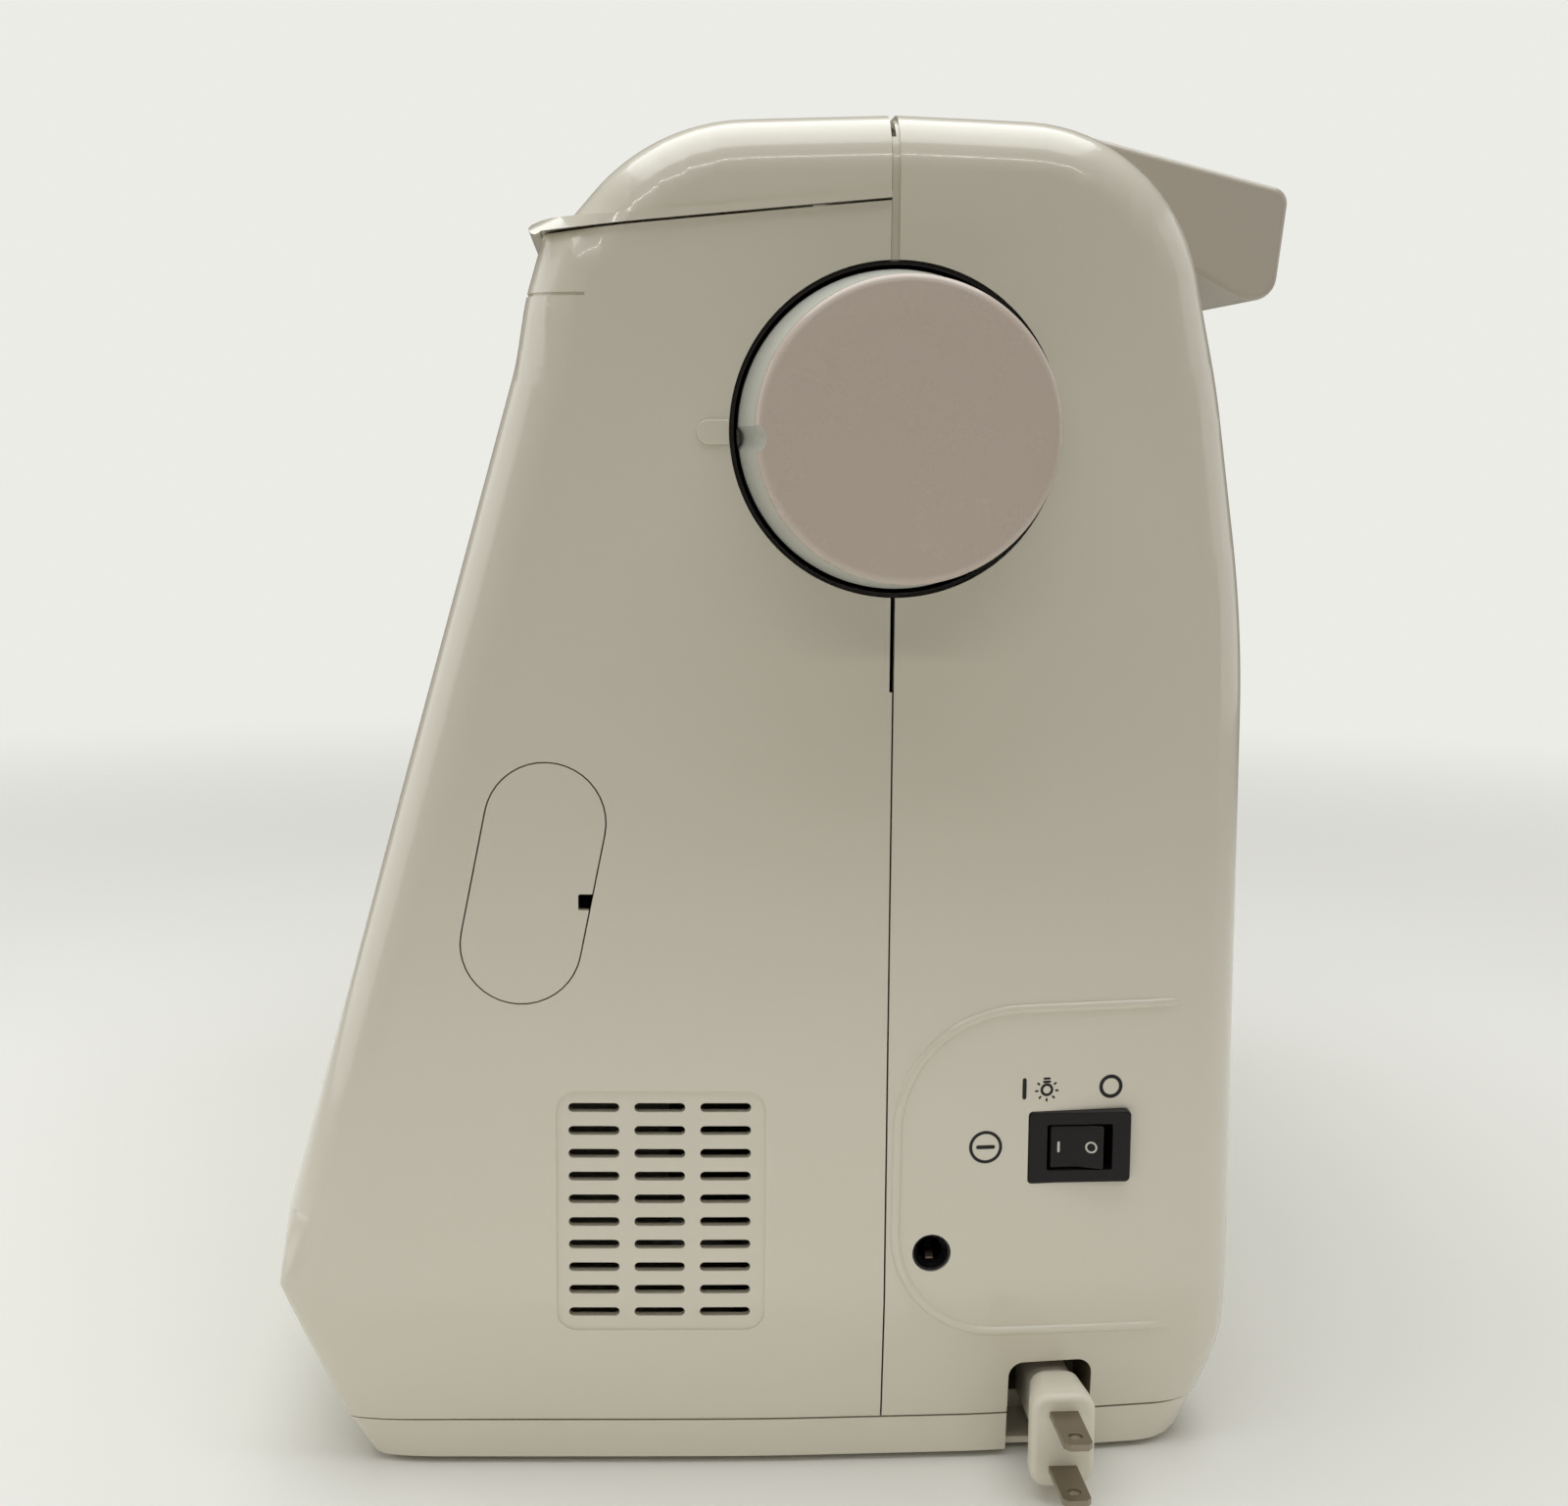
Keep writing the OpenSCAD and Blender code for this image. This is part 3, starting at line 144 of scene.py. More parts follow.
def soft_rectangle(width, height, radius, middle=(0, 0), steps=6):
    """A rectangle with rounded corners."""
    w, h = width / 2, height / 2
    a, b = middle
    return rounded([(a + u * w, b + v * h, radius) for u, v in ((-1, -1), (1, -1), (1, 1), (-1, 1))], steps)


def stadium(length, width, middle=(0, 0), angle=0.0, steps=12):
    """A slot outline with round ends, its length along the first direction turned by angle."""
    reach = (length - width) / 2
    points = []
    for end in (1, -1):
        for k in range(steps + 1):
            t = math.pi * k / steps - math.pi / 2
            points.append(Vector((end * (reach + width / 2 * math.cos(t)), end * width / 2 * math.sin(t))))
    turn = Matrix.Rotation(angle, 2)
    return [turn @ p + Vector(middle) for p in points]


# ---------------------------------------------------------------- modelling by hand


def deselect():
    """Object mode, with nothing selected."""
    if bpy.context.object and bpy.context.object.mode != "OBJECT":
        bpy.ops.object.mode_set(mode="OBJECT")
    bpy.ops.object.select_all(action="DESELECT")


def only(piece):
    """Selects this piece and nothing else, in object mode."""
    deselect()
    piece.select_set(True)
    bpy.context.view_layer.objects.active = piece
    return piece


@contextmanager
def editing(piece):
    """Edit mode on this piece alone, and object mode again afterwards."""
    only(piece)
    bpy.ops.object.mode_set(mode="EDIT")
    yield bpy.ops.mesh
    bpy.ops.object.mode_set(mode="OBJECT")


def on_all(*steps):
    """Runs edit operators (operator, settings) in turn, each on the whole mesh."""
    for operator, settings in steps:
        bpy.ops.mesh.select_all(action="SELECT")
        operator(**settings)


def named(piece, name):
    piece.name = piece.data.name = name
    return piece


def moved(piece, x=0.0, y=0.0, z=0.0):
    piece.data.transform(Matrix.Translation(Vector((x, y, z)) * MM))
    return piece


def settle(name):
    """Puts the new piece's place into its mesh, with the object at the origin."""
    piece = only(bpy.context.object)
    bpy.ops.object.transform_apply(location=True, rotation=True, scale=True)
    return named(piece, name)


def block(low, high):
    """A box between two corners, in millimetres."""
    deselect()
    low, high = Vector(low) * MM, Vector(high) * MM
    bpy.ops.mesh.primitive_cube_add(size=1, location=(low + high) / 2, scale=high - low)
    return settle("block")


def in_space(axis, point, along):
    """A point of a flat outline, placed at a distance along the axis."""
    a, b = point
    return {"X": Vector((along, a, b)), "Y": Vector((a, along, b)), "Z": Vector((a, b, along))}[axis]


def rod(axis, start, end, middle, radius, name="rod", sides=64):
    """A cylinder along an axis, whose middle is given by its two other coordinates."""
    deselect()
    place = in_space(axis, middle, (start + end) / 2)
    turn = {"X": (0, math.pi / 2, 0), "Y": (-math.pi / 2, 0, 0), "Z": (0, 0, 0)}[axis]
    bpy.ops.mesh.primitive_cylinder_add(vertices=sides, radius=radius * MM, depth=(end - start) * MM,
                                        location=place * MM, rotation=turn)
    return settle(name)


def outline_mesh(points, fill):
    """A flat ring of vertices at points in space, as the new active piece."""
    deselect()
    bpy.ops.mesh.primitive_circle_add(vertices=len(points), radius=1, fill_type=fill)
    piece = bpy.context.object
    for vertex, point in zip(piece.data.vertices, points):
        vertex.co = point * MM
    return piece


def prism(axis, points, start, end, name="prism"):
    """A flat outline drawn out along an axis from start to end."""
    drawn = {"TRANSFORM_OT_translate": {"value": AXES[axis] * (end - start) * MM}}
    with editing(outline_mesh([in_space(axis, point, start) for point in points], "NGON")) as mesh:
        on_all((mesh.extrude_region_move, drawn), (mesh.normals_make_consistent, {"inside": False}))
    return settle(name)


def turned(axis, profile, middle, name, steps=96):
    """A closed profile of (place along the axis, radius) spun once round the axis."""
    second = AXES["Z" if axis != "Z" else "Y"]
    base = in_space(axis, middle, 0)
    points = [base + AXES[axis] * along + second * out for along, out in profile]
    with editing(outline_mesh(points, "NOTHING")) as mesh:
        on_all((mesh.spin, {"steps": steps, "angle": math.tau, "center": base * MM, "axis": AXES[axis]}),
               (mesh.remove_doubles, {"threshold": 0.00001}), (mesh.delete_loose, {}),
               (mesh.normals_make_consistent, {"inside": False}))
    return settle(name)


def into_end(points, depth, out=5.0, name="prism"):
    """An outline of (y, z) drawn from depth inside the handwheel end's face to out before it."""
    return prism("X", points, X_RIGHT - depth, X_RIGHT + out, name)


def end_rod(middle, radius, depth, out, sides=64):
    """A cylinder from depth inside the handwheel end's face to out before it."""
    return rod("X", X_RIGHT - depth, X_RIGHT + out, middle, radius, sides=sides)


def apply_modifier(piece, kind, **settings):
    only(piece)
    modifier = piece.modifiers.new(kind.lower(), kind)
    for key, value in settings.items():
        setattr(modifier, key, value)
    bpy.ops.object.modifier_apply(modifier=modifier.name)
    return piece


def remove(piece):
    mesh = piece.data
    bpy.data.objects.remove(piece)
    if mesh.users == 0:
        bpy.data.meshes.remove(mesh)


def combine(piece, others, operation):
    """Adds, takes out or keeps the part shared with other solids, one at a time, and removes them."""
    for other in others:
        apply_modifier(piece, "BOOLEAN", operation=operation, solver="MANIFOLD", object=other)
        remove(other)
    return piece


def cut(piece, *cutters):
    return combine(piece, cutters, "DIFFERENCE")


def add(piece, *others):
    return combine(piece, others, "UNION")


def keep(piece, *shapes):
    return combine(piece, shapes, "INTERSECT")


def copy_of(piece, name):
    deselect()
    twin = piece.copy()
    twin.data = piece.data.copy()
    bpy.context.scene.collection.objects.link(twin)
    return named(twin, name)


def joined(pieces, name):
    """Joins several pieces into one, by that name."""
    deselect()
    for piece in pieces:
        piece.select_set(True)
    bpy.context.view_layer.objects.active = pieces[0]
    if len(pieces) > 1:
        bpy.ops.object.join()
    return named(pieces[0], name)


def round_end(piece, normal, radius, steps=7):
    """Rounds the rim of the end face that looks along normal, by insets that rise as an arc does."""
    with editing(piece) as mesh:
        mesh.select_mode(type="FACE")
        mesh.select_all(action="DESELECT")
        for face in bmesh.from_edit_mesh(piece.data).faces:
            if face.normal.dot(normal) > 0.999:
                face.select_set(True)
        bmesh.update_edit_mesh(piece.data)
        for k in range(steps):
            a, b = (math.pi / 2 * i / steps for i in (k, k + 1))
            mesh.inset(thickness=radius * (math.cos(a) - math.cos(b)) * MM,
                       depth=radius * (math.sin(b) - math.sin(a)) * MM, use_even_offset=True)
    return piece


def slice_across(piece, axis, places):
    """Cuts new edges into the piece's faces where planes across the axis meet them."""
    with editing(piece) as mesh:
        mesh.select_mode(type="FACE")
        on_all(*((mesh.bisect, {"plane_co": AXES[axis] * place * MM, "plane_no": AXES[axis]})
                 for place in places))
    return piece


def round_edges(piece, width, angle=35, segments=3):
    """Rounds every edge that bends by more than angle, in degrees."""
    return apply_modifier(piece, "BEVEL", width=width * MM, segments=segments, limit_method="ANGLE",
                          angle_limit=math.radians(angle), use_clamp_overlap=True, harden_normals=False)


def round_some(piece, width, test, over=60, segments=4, clamp=True):
    """Rounds the edges that bend by more than over degrees and whose two ends pass the test."""
    with editing(piece) as mesh:
        mesh.select_mode(type="EDGE")
        mesh.select_all(action="DESELECT")
        for edge in bmesh.from_edit_mesh(piece.data).edges:
            if len(edge.link_faces) == 2 and edge.calc_face_angle(0) > math.radians(over):
                if test(*(vertex.co / MM for vertex in edge.verts)):
                    edge.select_set(True)
        bmesh.update_edit_mesh(piece.data)
        mesh.bevel(offset=width * MM, segments=segments, affect="EDGES", clamp_overlap=clamp)
    return piece


def cad_copy(node, name):
    """A copy of a CAD node whose loose triangles are merged into whole faces."""
    piece = copy_of(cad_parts[node], name)
    piece.parent = None
    for key in list(piece.keys()):
        del piece[key]
    piece.data.materials.clear()
    with editing(piece) as mesh:
        mesh.select_all(action="SELECT")
        mesh.remove_doubles(threshold=0.000002)
        mesh.dissolve_limited(angle_limit=math.radians(0.5))
    return piece


def finish_piece(piece, finish, body, *nodes, slot=None, crease=32):
    """Smooths a piece up to the crease angle, if it has one, gives it its finish and its body,
    and lets it stand for its CAD nodes."""
    if crease:
        only(piece)
        bpy.ops.object.shade_smooth_by_angle(angle=math.radians(crease))
        apply_modifier(piece, "WEIGHTED_NORMAL", mode="FACE_AREA", weight=60, keep_sharp=True)
    piece.data.materials.clear()
    piece.data.materials.append(FINISHES[finish])
    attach(piece, body)
    if nodes:
        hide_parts(*nodes)
    return piece


def second_finish(piece, finish, test):
    """Gives the faces whose centre, in millimetres, passes the test another finish."""
    piece.data.materials.append(FINISHES[finish])
    for face in piece.data.polygons:
        if test(*(face.center / MM)):
            face.material_index = 1


def dressed(node, finish, body, slot, width=0.3, angle=50, segments=3):
    """A CAD node's form with its edges rounded, as a piece that stands for it."""
    piece = round_edges(cad_copy(node, node + "_form"), width, angle, segments)
    return finish_piece(piece, finish, body, node, slot=slot)


# ---------------------------------------------------------------- finishes


def paint(red, green, blue):
    """A display colour from 0 to 255, as the linear colour that a socket takes."""
    linear = [((c / 255 + 0.055) / 1.055) ** 2.4 if c > 10 else c / 255 / 12.92 for c in (red, green, blue)]
    return (*linear, 1.0)


def shade(colour, amount):
    return (*(min(1.0, c * amount) for c in colour[:3]), 1.0)


def tinted(colour, tint):
    return (*(c * t for c, t in zip(colour, tint)), 1.0)


class Flow:
    """A node's output that can stand in an expression; each operator adds its Math node."""

    def __init__(self, finish, socket):
        self.finish, self.socket = finish, socket

    def maths(self, operation, *values):
        return self.finish.node("ShaderNodeMath", {"operation": operation}, dict(enumerate(values)))

    def __add__(self, other):
        return self.maths("ADD", self, other)

    def __sub__(self, other):
        return self.maths("SUBTRACT", self, other)

    def __rsub__(self, other):
        return self.maths("SUBTRACT", other, self)

    def __mul__(self, other):
        return self.maths("MULTIPLY", self, other)

    def __lt__(self, other):
        return self.maths("LESS_THAN", self, other)

    __radd__, __rmul__ = __add__, __mul__

    def between(self, low, high):
        """From 0 at low to 1 at high, held at both ends."""
        return self.finish.node("ShaderNodeMapRange", {"interpolation_type": "SMOOTHSTEP"},
                                {"Value": self, "From Min": low, "From Max": high})


class Finish:
    """A material, built from nodes around one Principled surface."""

    def __init__(self, name, **surface):
        self.material = bpy.data.materials.new(name)
        self.material.use_nodes = True
        self.tree = self.material.node_tree
        self.tree.nodes.clear()
        out = self.tree.nodes.new("ShaderNodeOutputMaterial")
        self.surface = self.tree.nodes.new("ShaderNodeBsdfPrincipled")
        self.tree.links.new(self.surface.outputs[0], out.inputs["Surface"])
        for socket, value in surface.items():
            self.put(self.surface.inputs[socket.replace("_", " ")], value)

    def put(self, socket, value):
        """Sets a socket, or links it where the value comes from nodes."""
        if isinstance(value, Flow):
            self.tree.links.new(value.socket, socket)
        else:
            socket.default_value = value

    def node(self, kind, settings=None, inputs=None, output=0):
        """Adds a node with its settings, which come first, and the values or links of its sockets."""
        node = self.tree.nodes.new(kind)
        for key, value in (settings or {}).items():
            setattr(node, key, value)
        for key, value in (inputs or {}).items():
            self.put(node.inputs[key], value)
        return Flow(self, node.outputs[output])

    def place(self):
        return self.node("ShaderNodeTexCoord", output="Object")

    def noise(self, scale, detail=3.0, roughness=0.5, stretch=None):
        where = self.place()
        if stretch:
            where = self.node("ShaderNodeMapping", None, {"Vector": where, "Scale": stretch})
        return self.node("ShaderNodeTexNoise", None,
                         {"Vector": where, "Scale": scale, "Detail": detail, "Roughness": roughness})

    def bricks(self, scale, mortar, offset, second):
        """A grid of dark cells between white lines."""
        return self.node("ShaderNodeTexBrick", {"offset": offset},
                         {"Vector": self.place(), "Scale": scale, "Mortar Size": mortar,
                          "Color1": (0, 0, 0, 1), "Color2": second, "Mortar": (1, 1, 1, 1)})

    def waves(self, direction, scale, distortion=0.0):
        return self.node("ShaderNodeTexWave", {"bands_direction": direction},
                         {"Vector": self.place(), "Scale": scale, "Distortion": distortion})

    def mix(self, factor, first, second):
        """A colour between two, by factor."""
        return self.node("ShaderNodeMix", {"data_type": "RGBA"}, {0: factor, 6: first, 7: second}, output=2)

    def look(self, colour, roughness, height=None, depth=0.0):
        """Feeds the surface its colour and roughness, and a bump of a depth in millimetres."""
        inputs = self.surface.inputs
        self.put(inputs["Base Color"], colour)
        self.put(inputs["Roughness"], roughness)
        if height:
            self.put(inputs["Normal"], self.node("ShaderNodeBump", None,
                                                 {"Strength": 1.0, "Distance": depth * MM, "Height": height}))
        return self.material


def moulded_plastic(name, colour, roughness, coat=0.0, grain=0.02, drift=0.04, shine=0.5):
    """Injection-moulded plastic: slow drift of tone, fine mould grain, faint handling haze."""
    finish = Finish(name, IOR=1.49, Specular_IOR_Level=shine, Coat_Weight=coat, Coat_Roughness=0.05)
    slow = finish.noise(7.0, 2.0)
    haze = finish.noise(38.0, 5.0, 0.62)
    fine = finish.noise(900.0, 2.0, 0.6)
    return finish.look(finish.mix(slow * 0.7 + haze * 0.3, shade(colour, 1 - drift), shade(colour, 1 + drift)),
                       haze.between(0.3, 0.75) * 0.03 + fine * 0.02 + (roughness - 0.03), fine, grain)


def turned_metal(name, colour, roughness, around="X", scratches=0.5):
    """Machined metal with fine lines that run round or along its axis."""
    finish = Finish(name, Metallic=1.0)
    lines = finish.noise(2600.0, 2.0, 0.5, tuple(1 if axis == around else 0.03 for axis in "XYZ"))
    smudge = finish.noise(55.0, 4.0)
    return finish.look(finish.mix(smudge, shade(colour, 0.88), shade(colour, 1.05)),
                       lines * 0.10 * scratches + smudge * 0.10 + roughness - 0.06, lines, 0.004 * scratches)


def painted_casting(name, colour):
    """Sand-textured paint on cast metal."""
    finish = Finish(name, IOR=1.5)
    bumps = finish.noise(420.0, 4.0, 0.65)
    patches = finish.noise(22.0, 3.0)
    return finish.look(finish.mix(patches * 0.6 + bumps * 0.4, shade(colour, 0.8), shade(colour, 1.15)),
                       bumps * 0.25 + 0.38, bumps, 0.12)


def rubber(name, colour, ribs=None):
    """Matt rubber with dust in its pores, ribbed along an axis where it is a toothed belt."""
    finish = Finish(name, IOR=1.45)
    pores = finish.noise(700.0, 4.0, 0.7)
    dust = finish.noise(45.0, 4.0).between(0.5, 0.8)
    height, depth = (finish.waves(ribs, 160.0), 0.5) if ribs else (pores, 0.05)
    return finish.look(finish.mix(dust * 0.35, colour, shade(colour, 2.2)), pores * 0.2 + 0.62, height, depth)


def clear_plastic(name, colour):
    """Tinted see-through plastic, as on a bobbin or a display window."""
    finish = Finish(name, IOR=1.49, Transmission_Weight=0.75)
    fine = finish.noise(300.0, 3.0)
    return finish.look(finish.mix(fine, shade(colour, 0.93), shade(colour, 1.05)), fine * 0.05 + 0.08,
                       fine, 0.006)


def display_glass(name, colour):
    """Glossy window glass over a dark panel with a faint grid of cells."""
    finish = Finish(name, IOR=1.5, Coat_Weight=1.0, Coat_Roughness=0.04)
    cells = finish.bricks(300.0, 0.03, 0.0, (0, 0, 0, 1))
    smear = finish.noise(30.0, 4.0)
    return finish.look(finish.mix(cells * 0.5, colour, shade(colour, 1.5)), smear * 0.08 + 0.12, smear, 0.004)


def printed_ink(name, colour):
    """Ink with a fine speckle."""
    finish = Finish(name, IOR=1.45)
    speckle = finish.noise(1500.0, 3.0, 0.7)
    return finish.look(finish.mix(speckle, shade(colour, 0.8), shade(colour, 1.3)), speckle * 0.2 + 0.4)


def cord_jacket(name, colour):
    """A cord's moulded jacket, with the faint lay of its wires."""
    finish = Finish(name, IOR=1.47)
    lay = finish.waves("DIAGONAL", 240.0, 1.5)
    tone = finish.noise(60.0)
    return finish.look(finish.mix(tone, shade(colour, 0.85), shade(colour, 1.06)), tone * 0.15 + 0.35,
                       lay, 0.12)


def circuit_board(name):
    """Green solder mask with paler tracks and small gold pads."""
    finish = Finish(name, IOR=1.5)
    tracks = finish.bricks(90.0, 0.02, 0.3, (0.3, 0.3, 0.3, 1))
    pads = finish.node("ShaderNodeTexVoronoi", None, {"Vector": finish.place(), "Scale": 170.0})
    mask = finish.mix(tracks, paint(16, 74, 42), paint(34, 112, 62))
    return finish.look(finish.mix(pads < 0.12, mask, paint(214, 178, 96)), tracks * 0.2 + 0.3, tracks, 0.05)


def make_finishes(colours):
    """Every material of the machine, by name."""
    ivory, grey, black = ((*colour, 1.0) for colour in (colours.cover, colours.controls, colours.dark))
    steel = paint(198, 198, 194)
    darkened_ivory, rose, painted_shade_brown = (tinted(ivory, tint) for tint in ((0.72, 0.69, 0.69), (0.85, 0.77, 0.79),
                                                          (0.22, 0.19, 0.14)))
    return {
        "cover": moulded_plastic("cover_ivory", ivory, 0.22, 0.5, 0.012, 0.015),
        # The handle's finish is the cover's ivory, darkened by about a third.
        "handle": moulded_plastic("handle_darkened_ivory", darkened_ivory, 0.3, 0.2, 0.01, 0.015),
        # Painted shade: a dark brown for the inner walls of the plug's recess, standing in for the shadow that
        # falls inside it.
        "recess": moulded_plastic("painted_recess_shade", painted_shade_brown, 0.5),
        "controls": moulded_plastic("controls_grey", grey, 0.36, grain=0.03),
        "wheel": moulded_plastic("wheel_ivory", rose, 0.28, 0.2, 0.002, 0.004),
        "wheel_side": moulded_plastic("wheel_skirt_grey", shade(grey, 0.98), 0.34, drift=0.03),
        "plug": moulded_plastic("plug_vinyl", ivory, 0.4, drift=0.03),
        "window": display_glass("display_glass", paint(38, 46, 44)),
        "figures": printed_ink("display_figures", paint(150, 178, 160)),
        "dark": moulded_plastic("dark_plastic", black, 0.36, grain=0.05, drift=0.1, shine=0.28),
        "gloss_dark": moulded_plastic("dark_ring_plastic", shade(black, 0.7), 0.28, drift=0.1),
        "clear": clear_plastic("bobbin_plastic", paint(196, 218, 222)),
        "cord": cord_jacket("cord_jacket", shade(ivory, 0.9)),
        "plate": turned_metal("ground_steel", steel, 0.26, "Y", 0.8),
        "shaft": turned_metal("turned_steel", steel, 0.24),
        "pin": turned_metal("drawn_steel", steel, 0.22, "Z"),
        "blade": turned_metal("blade_nickel", paint(150, 140, 124), 0.3, "X", 0.9),
        "bush": turned_metal("bearing_bronze", paint(176, 128, 62), 0.34),
        "casting": painted_casting("frame_casting", paint(128, 136, 140)),
        "motor": painted_casting("motor_can", paint(66, 68, 70)),
        "foot_rubber": rubber("foot_rubber", paint(58, 56, 53)),
        "belt": rubber("belt_rubber", paint(26, 26, 27), "Z"),
        "ink": printed_ink("printed_ink", paint(24, 21, 24)),
        "pale_ink": printed_ink("pale_ink", paint(206, 204, 198)),
        "board": circuit_board("control_board_mask"),
    }


# ---------------------------------------------------------------- housing

SIDE_CORNERS = [
    (-98.8, BASE_Z, 0), (-105.2, SPLIT_Z, 0), (Y_FRONT, CORNER_Z, 0), (Y_FRONT + 1.5, SLOPE_Z - 2, 14),
    (front_y(250), 250, 60), (-62.7, 264, 60), (-58.7, SEAM_FRONT_Z, 0),
    (SEAM_Y + 4.6, SEAM_FRONT_Z + 3.7, 0), (-35.0, TOP_Z - 2.1, 45), (SHAFT_Y, TOP_Z, 0),
    (78.9, TOP_Z - 1.7, 41), (91.6, 246, 180), (99.5, 193, 290), (100.9, 25, 40), (91.6, BASE_Z, 13),
]
HANDLE_CORNERS = [
    (PIVOT_Y - 9, PIVOT_Z - 9, 8.5), (PIVOT_Y - 9, TOP_Z + 2.5, 10), (HANDLE_Y - 50, TOP_Z + 2.5, 40),
    (HANDLE_Y, TOP_Z - 9.7, 4), (HANDLE_Y - 3.2, TOP_Z - 38.5, 6), (HANDLE_Y - 14, TOP_Z - 34, 10),
    (PIVOT_Y + 16, PIVOT_Z - 9, 10),
]

# Places and sizes of the openings and controls
COVER_MIDDLE, COVER_TILT = (-61.55, 136.7), math.radians(90 - 11.3)
COVER_L, COVER_W = 54.5, 26.5
VENT_START, SLOT_COLUMN, SLOT_ROW = (-48.3, 85.8), 14.75, 5.3
SLOT_L, SLOT_H, VENT_ROWS, VENT_COLUMNS = 11.4, 2.1, 10, 3
VENT_PANEL = (-33.3, 61.6)
RING_R = 36.15
SWITCH = (61.75, 75.45)
JACK = (28.1, 51.3)
RECESS_Y, RECESS_W, RECESS_TOP, RECESS_DEPTH = 56.75, 19.7, 23.7, 26.0
DISPLAY = (COLUMN_X + 62, 214.0)
KEYS_Z, BUTTONS_Z = 174.0, 186.0
KEY_XS = [DISPLAY[0] + (i - 1.5) * 17 for i in range(4)]
BUTTON_XS = [NEEDLE_X - 40 + i * 24 for i in range(3)]
SLIDER = (HEAD_X + 52, 216.0)
TAKE_UP = (NEEDLE_X - 12, 248.0)
DIAL = (NEEDLE_X + 11, 258.0)
TRAY = (Vector((LID_X + 26, SEAM_Y + 9, SEAM_FRONT_Z - 22)),
        Vector((LID_X + 174, SHAFT_Y - 4, SEAM_FRONT_Z + 12)))
WINDER = (LID_X + 208, SHAFT_Y - 44)
KNUCKLE_XS, KNUCKLE_W, KNUCKLE_R = (LID_X + 20, X_RIGHT - 34), 8, 2.2
HINGE = (SHAFT_Y - 4.1, TOP_Z - 2.7)
SHELL_X0 = FACE_X + 0.12
FOOT_XS = ((X_RIGHT - 24, COLUMN_X + 16), (NEEDLE_X - 46,))
FOOT_PLACES = [(x, y) for xs, ys in zip(FOOT_XS, ((Y_FRONT + 42, Y_REAR - 26), (ARM_Y0 + 14, ARM_Y1 - 14)))
               for x in xs for y in ys]


def size(name):
    """One of the housing's sizes, in millimetres."""
    return getattr(bpy.context.scene.sewing_sizes, name) / MM


def held(value):
    """The value, held between 0 and 1."""
    return min(1.0, max(0.0, value))


def crown(y, z):
    """How far the handwheel end's face falls back from its highest upright."""
    front, rear = max(0.0, 0.45 - y), max(0.0, y - 35.45)
    fall = 0.06 * (math.hypot(front, 20) - 20) + 0.105 * (math.hypot(rear, 10) - 10)
    return fall + max(0.0, CREASE_Z - z) * 3.5 / (CREASE_Z - SPLIT_Z)


def side_x(y, z):
    """X of the handwheel end's face at y and z."""
    return X_RIGHT - crown(y, z)


def crisp(y, z):
    """How much flatter the end's rim is where the lower front facet meets it."""
    return 0.75 * held((60 - z) / 14) * held((-68 - y) / 18)


def blank(inset, corners=SIDE_CORNERS):
    """The housing's whole solid form, drawn in by inset, its ends rounded and its right face crowned."""
    radius = size("edge_radius") - inset
    piece = prism("X", drawn_in(rounded(corners, 16), inset), X_LEFT + inset + radius, X_RIGHT - inset - radius)
    for way in (AXES["X"], -AXES["X"]):
        round_end(piece, way, radius)
    slice_across(piece, "Y", range(-112, 96, 6))
    slice_across(piece, "Z", [CREASE_Z - 3, CREASE_Z, CREASE_Z + 3, 46, 50, 55, 60])
    for vertex in piece.data.vertices:
        x, y, z = vertex.co / MM
        if x > 0:
            fall = min(radius, max(0.0, X_RIGHT - inset - x))
            vertex.co.x += (fall * crisp(y, z) - crown(y, z)) * MM
        else:
            vertex.co.x += (0.5 + 0.3 * crown(y, CREASE_Z)) * MM
    return piece


def near_skin(shape, depth):
    """What of a shape lies further out than depth below the housing's skin."""
    return cut(shape, blank(depth))


def throat(grow):
    """The room under the arm and head, which the housing goes round."""
    corners = [
        (X_LEFT - 20, -20, 0), (COLUMN_X + grow, -20, 0), (COLUMN_X + grow, ARM_Z + grow, 16),
        (HEAD_X + 6 - grow, ARM_Z + grow, 12), (HEAD_X - grow, HEAD_Z + grow, 8),
        (X_LEFT - 20, HEAD_Z + grow, 0),
    ]
    return prism("Y", rounded(corners, 8), -300, 300)


def over_seam(x0, y1, lift):
    """The room above the lid's seam."""
    ceiling = 400
    corners = [(Y_FRONT, seam_z(Y_FRONT) + lift), (y1, seam_z(y1) + lift), (y1, ceiling), (Y_FRONT, ceiling)]
    return prism("X", corners, x0, FAR)


def handle_room(grow):
    """The recess that the carry handle folds into and swings through."""
    x0, x1 = HANDLE_X0 - 1 - grow, HANDLE_X1 + 1 + grow
    return add(prism("X", drawn_in(rounded(HANDLE_CORNERS, 8), -1 - grow), x0, x1),
               rod("X", x0, x1, PIVOT, 14 + grow),
               block((x0, PIVOT_Y - 14 - grow, PIVOT_Z), (x1, PIVOT_Y + 120, PIVOT_Z + 60)))


def wheel_room():
    """The round opening for the handwheel and its ring."""
    return end_rod(SHAFT, RING_R + 0.1, 40, 10, sides=128)


def needle_and_arm_rooms():
    """The openings for the needle bar under the head, and for the free arm in the column."""
    return (block((NEEDLE_X - 22, SHAFT_Y - 18, HEAD_Z - 5), (NEEDLE_X + 18, SHAFT_Y + 26, HEAD_Z + 10)),
            block((COLUMN_X - 1, ARM_Y0 + 2.5, SPLIT_Z - 1), (COLUMN_X + 3.8, ARM_Y1 - 2.5, BED_Z - 2.5)))


def on_front(piece, x, z):
    """Turns a piece modelled about the origin onto the sloping front at x and height z."""
    piece.data.transform(Matrix.Rotation(-LEAN, 4, "X"))
    return moved(only(piece), x, front_y(z), z)


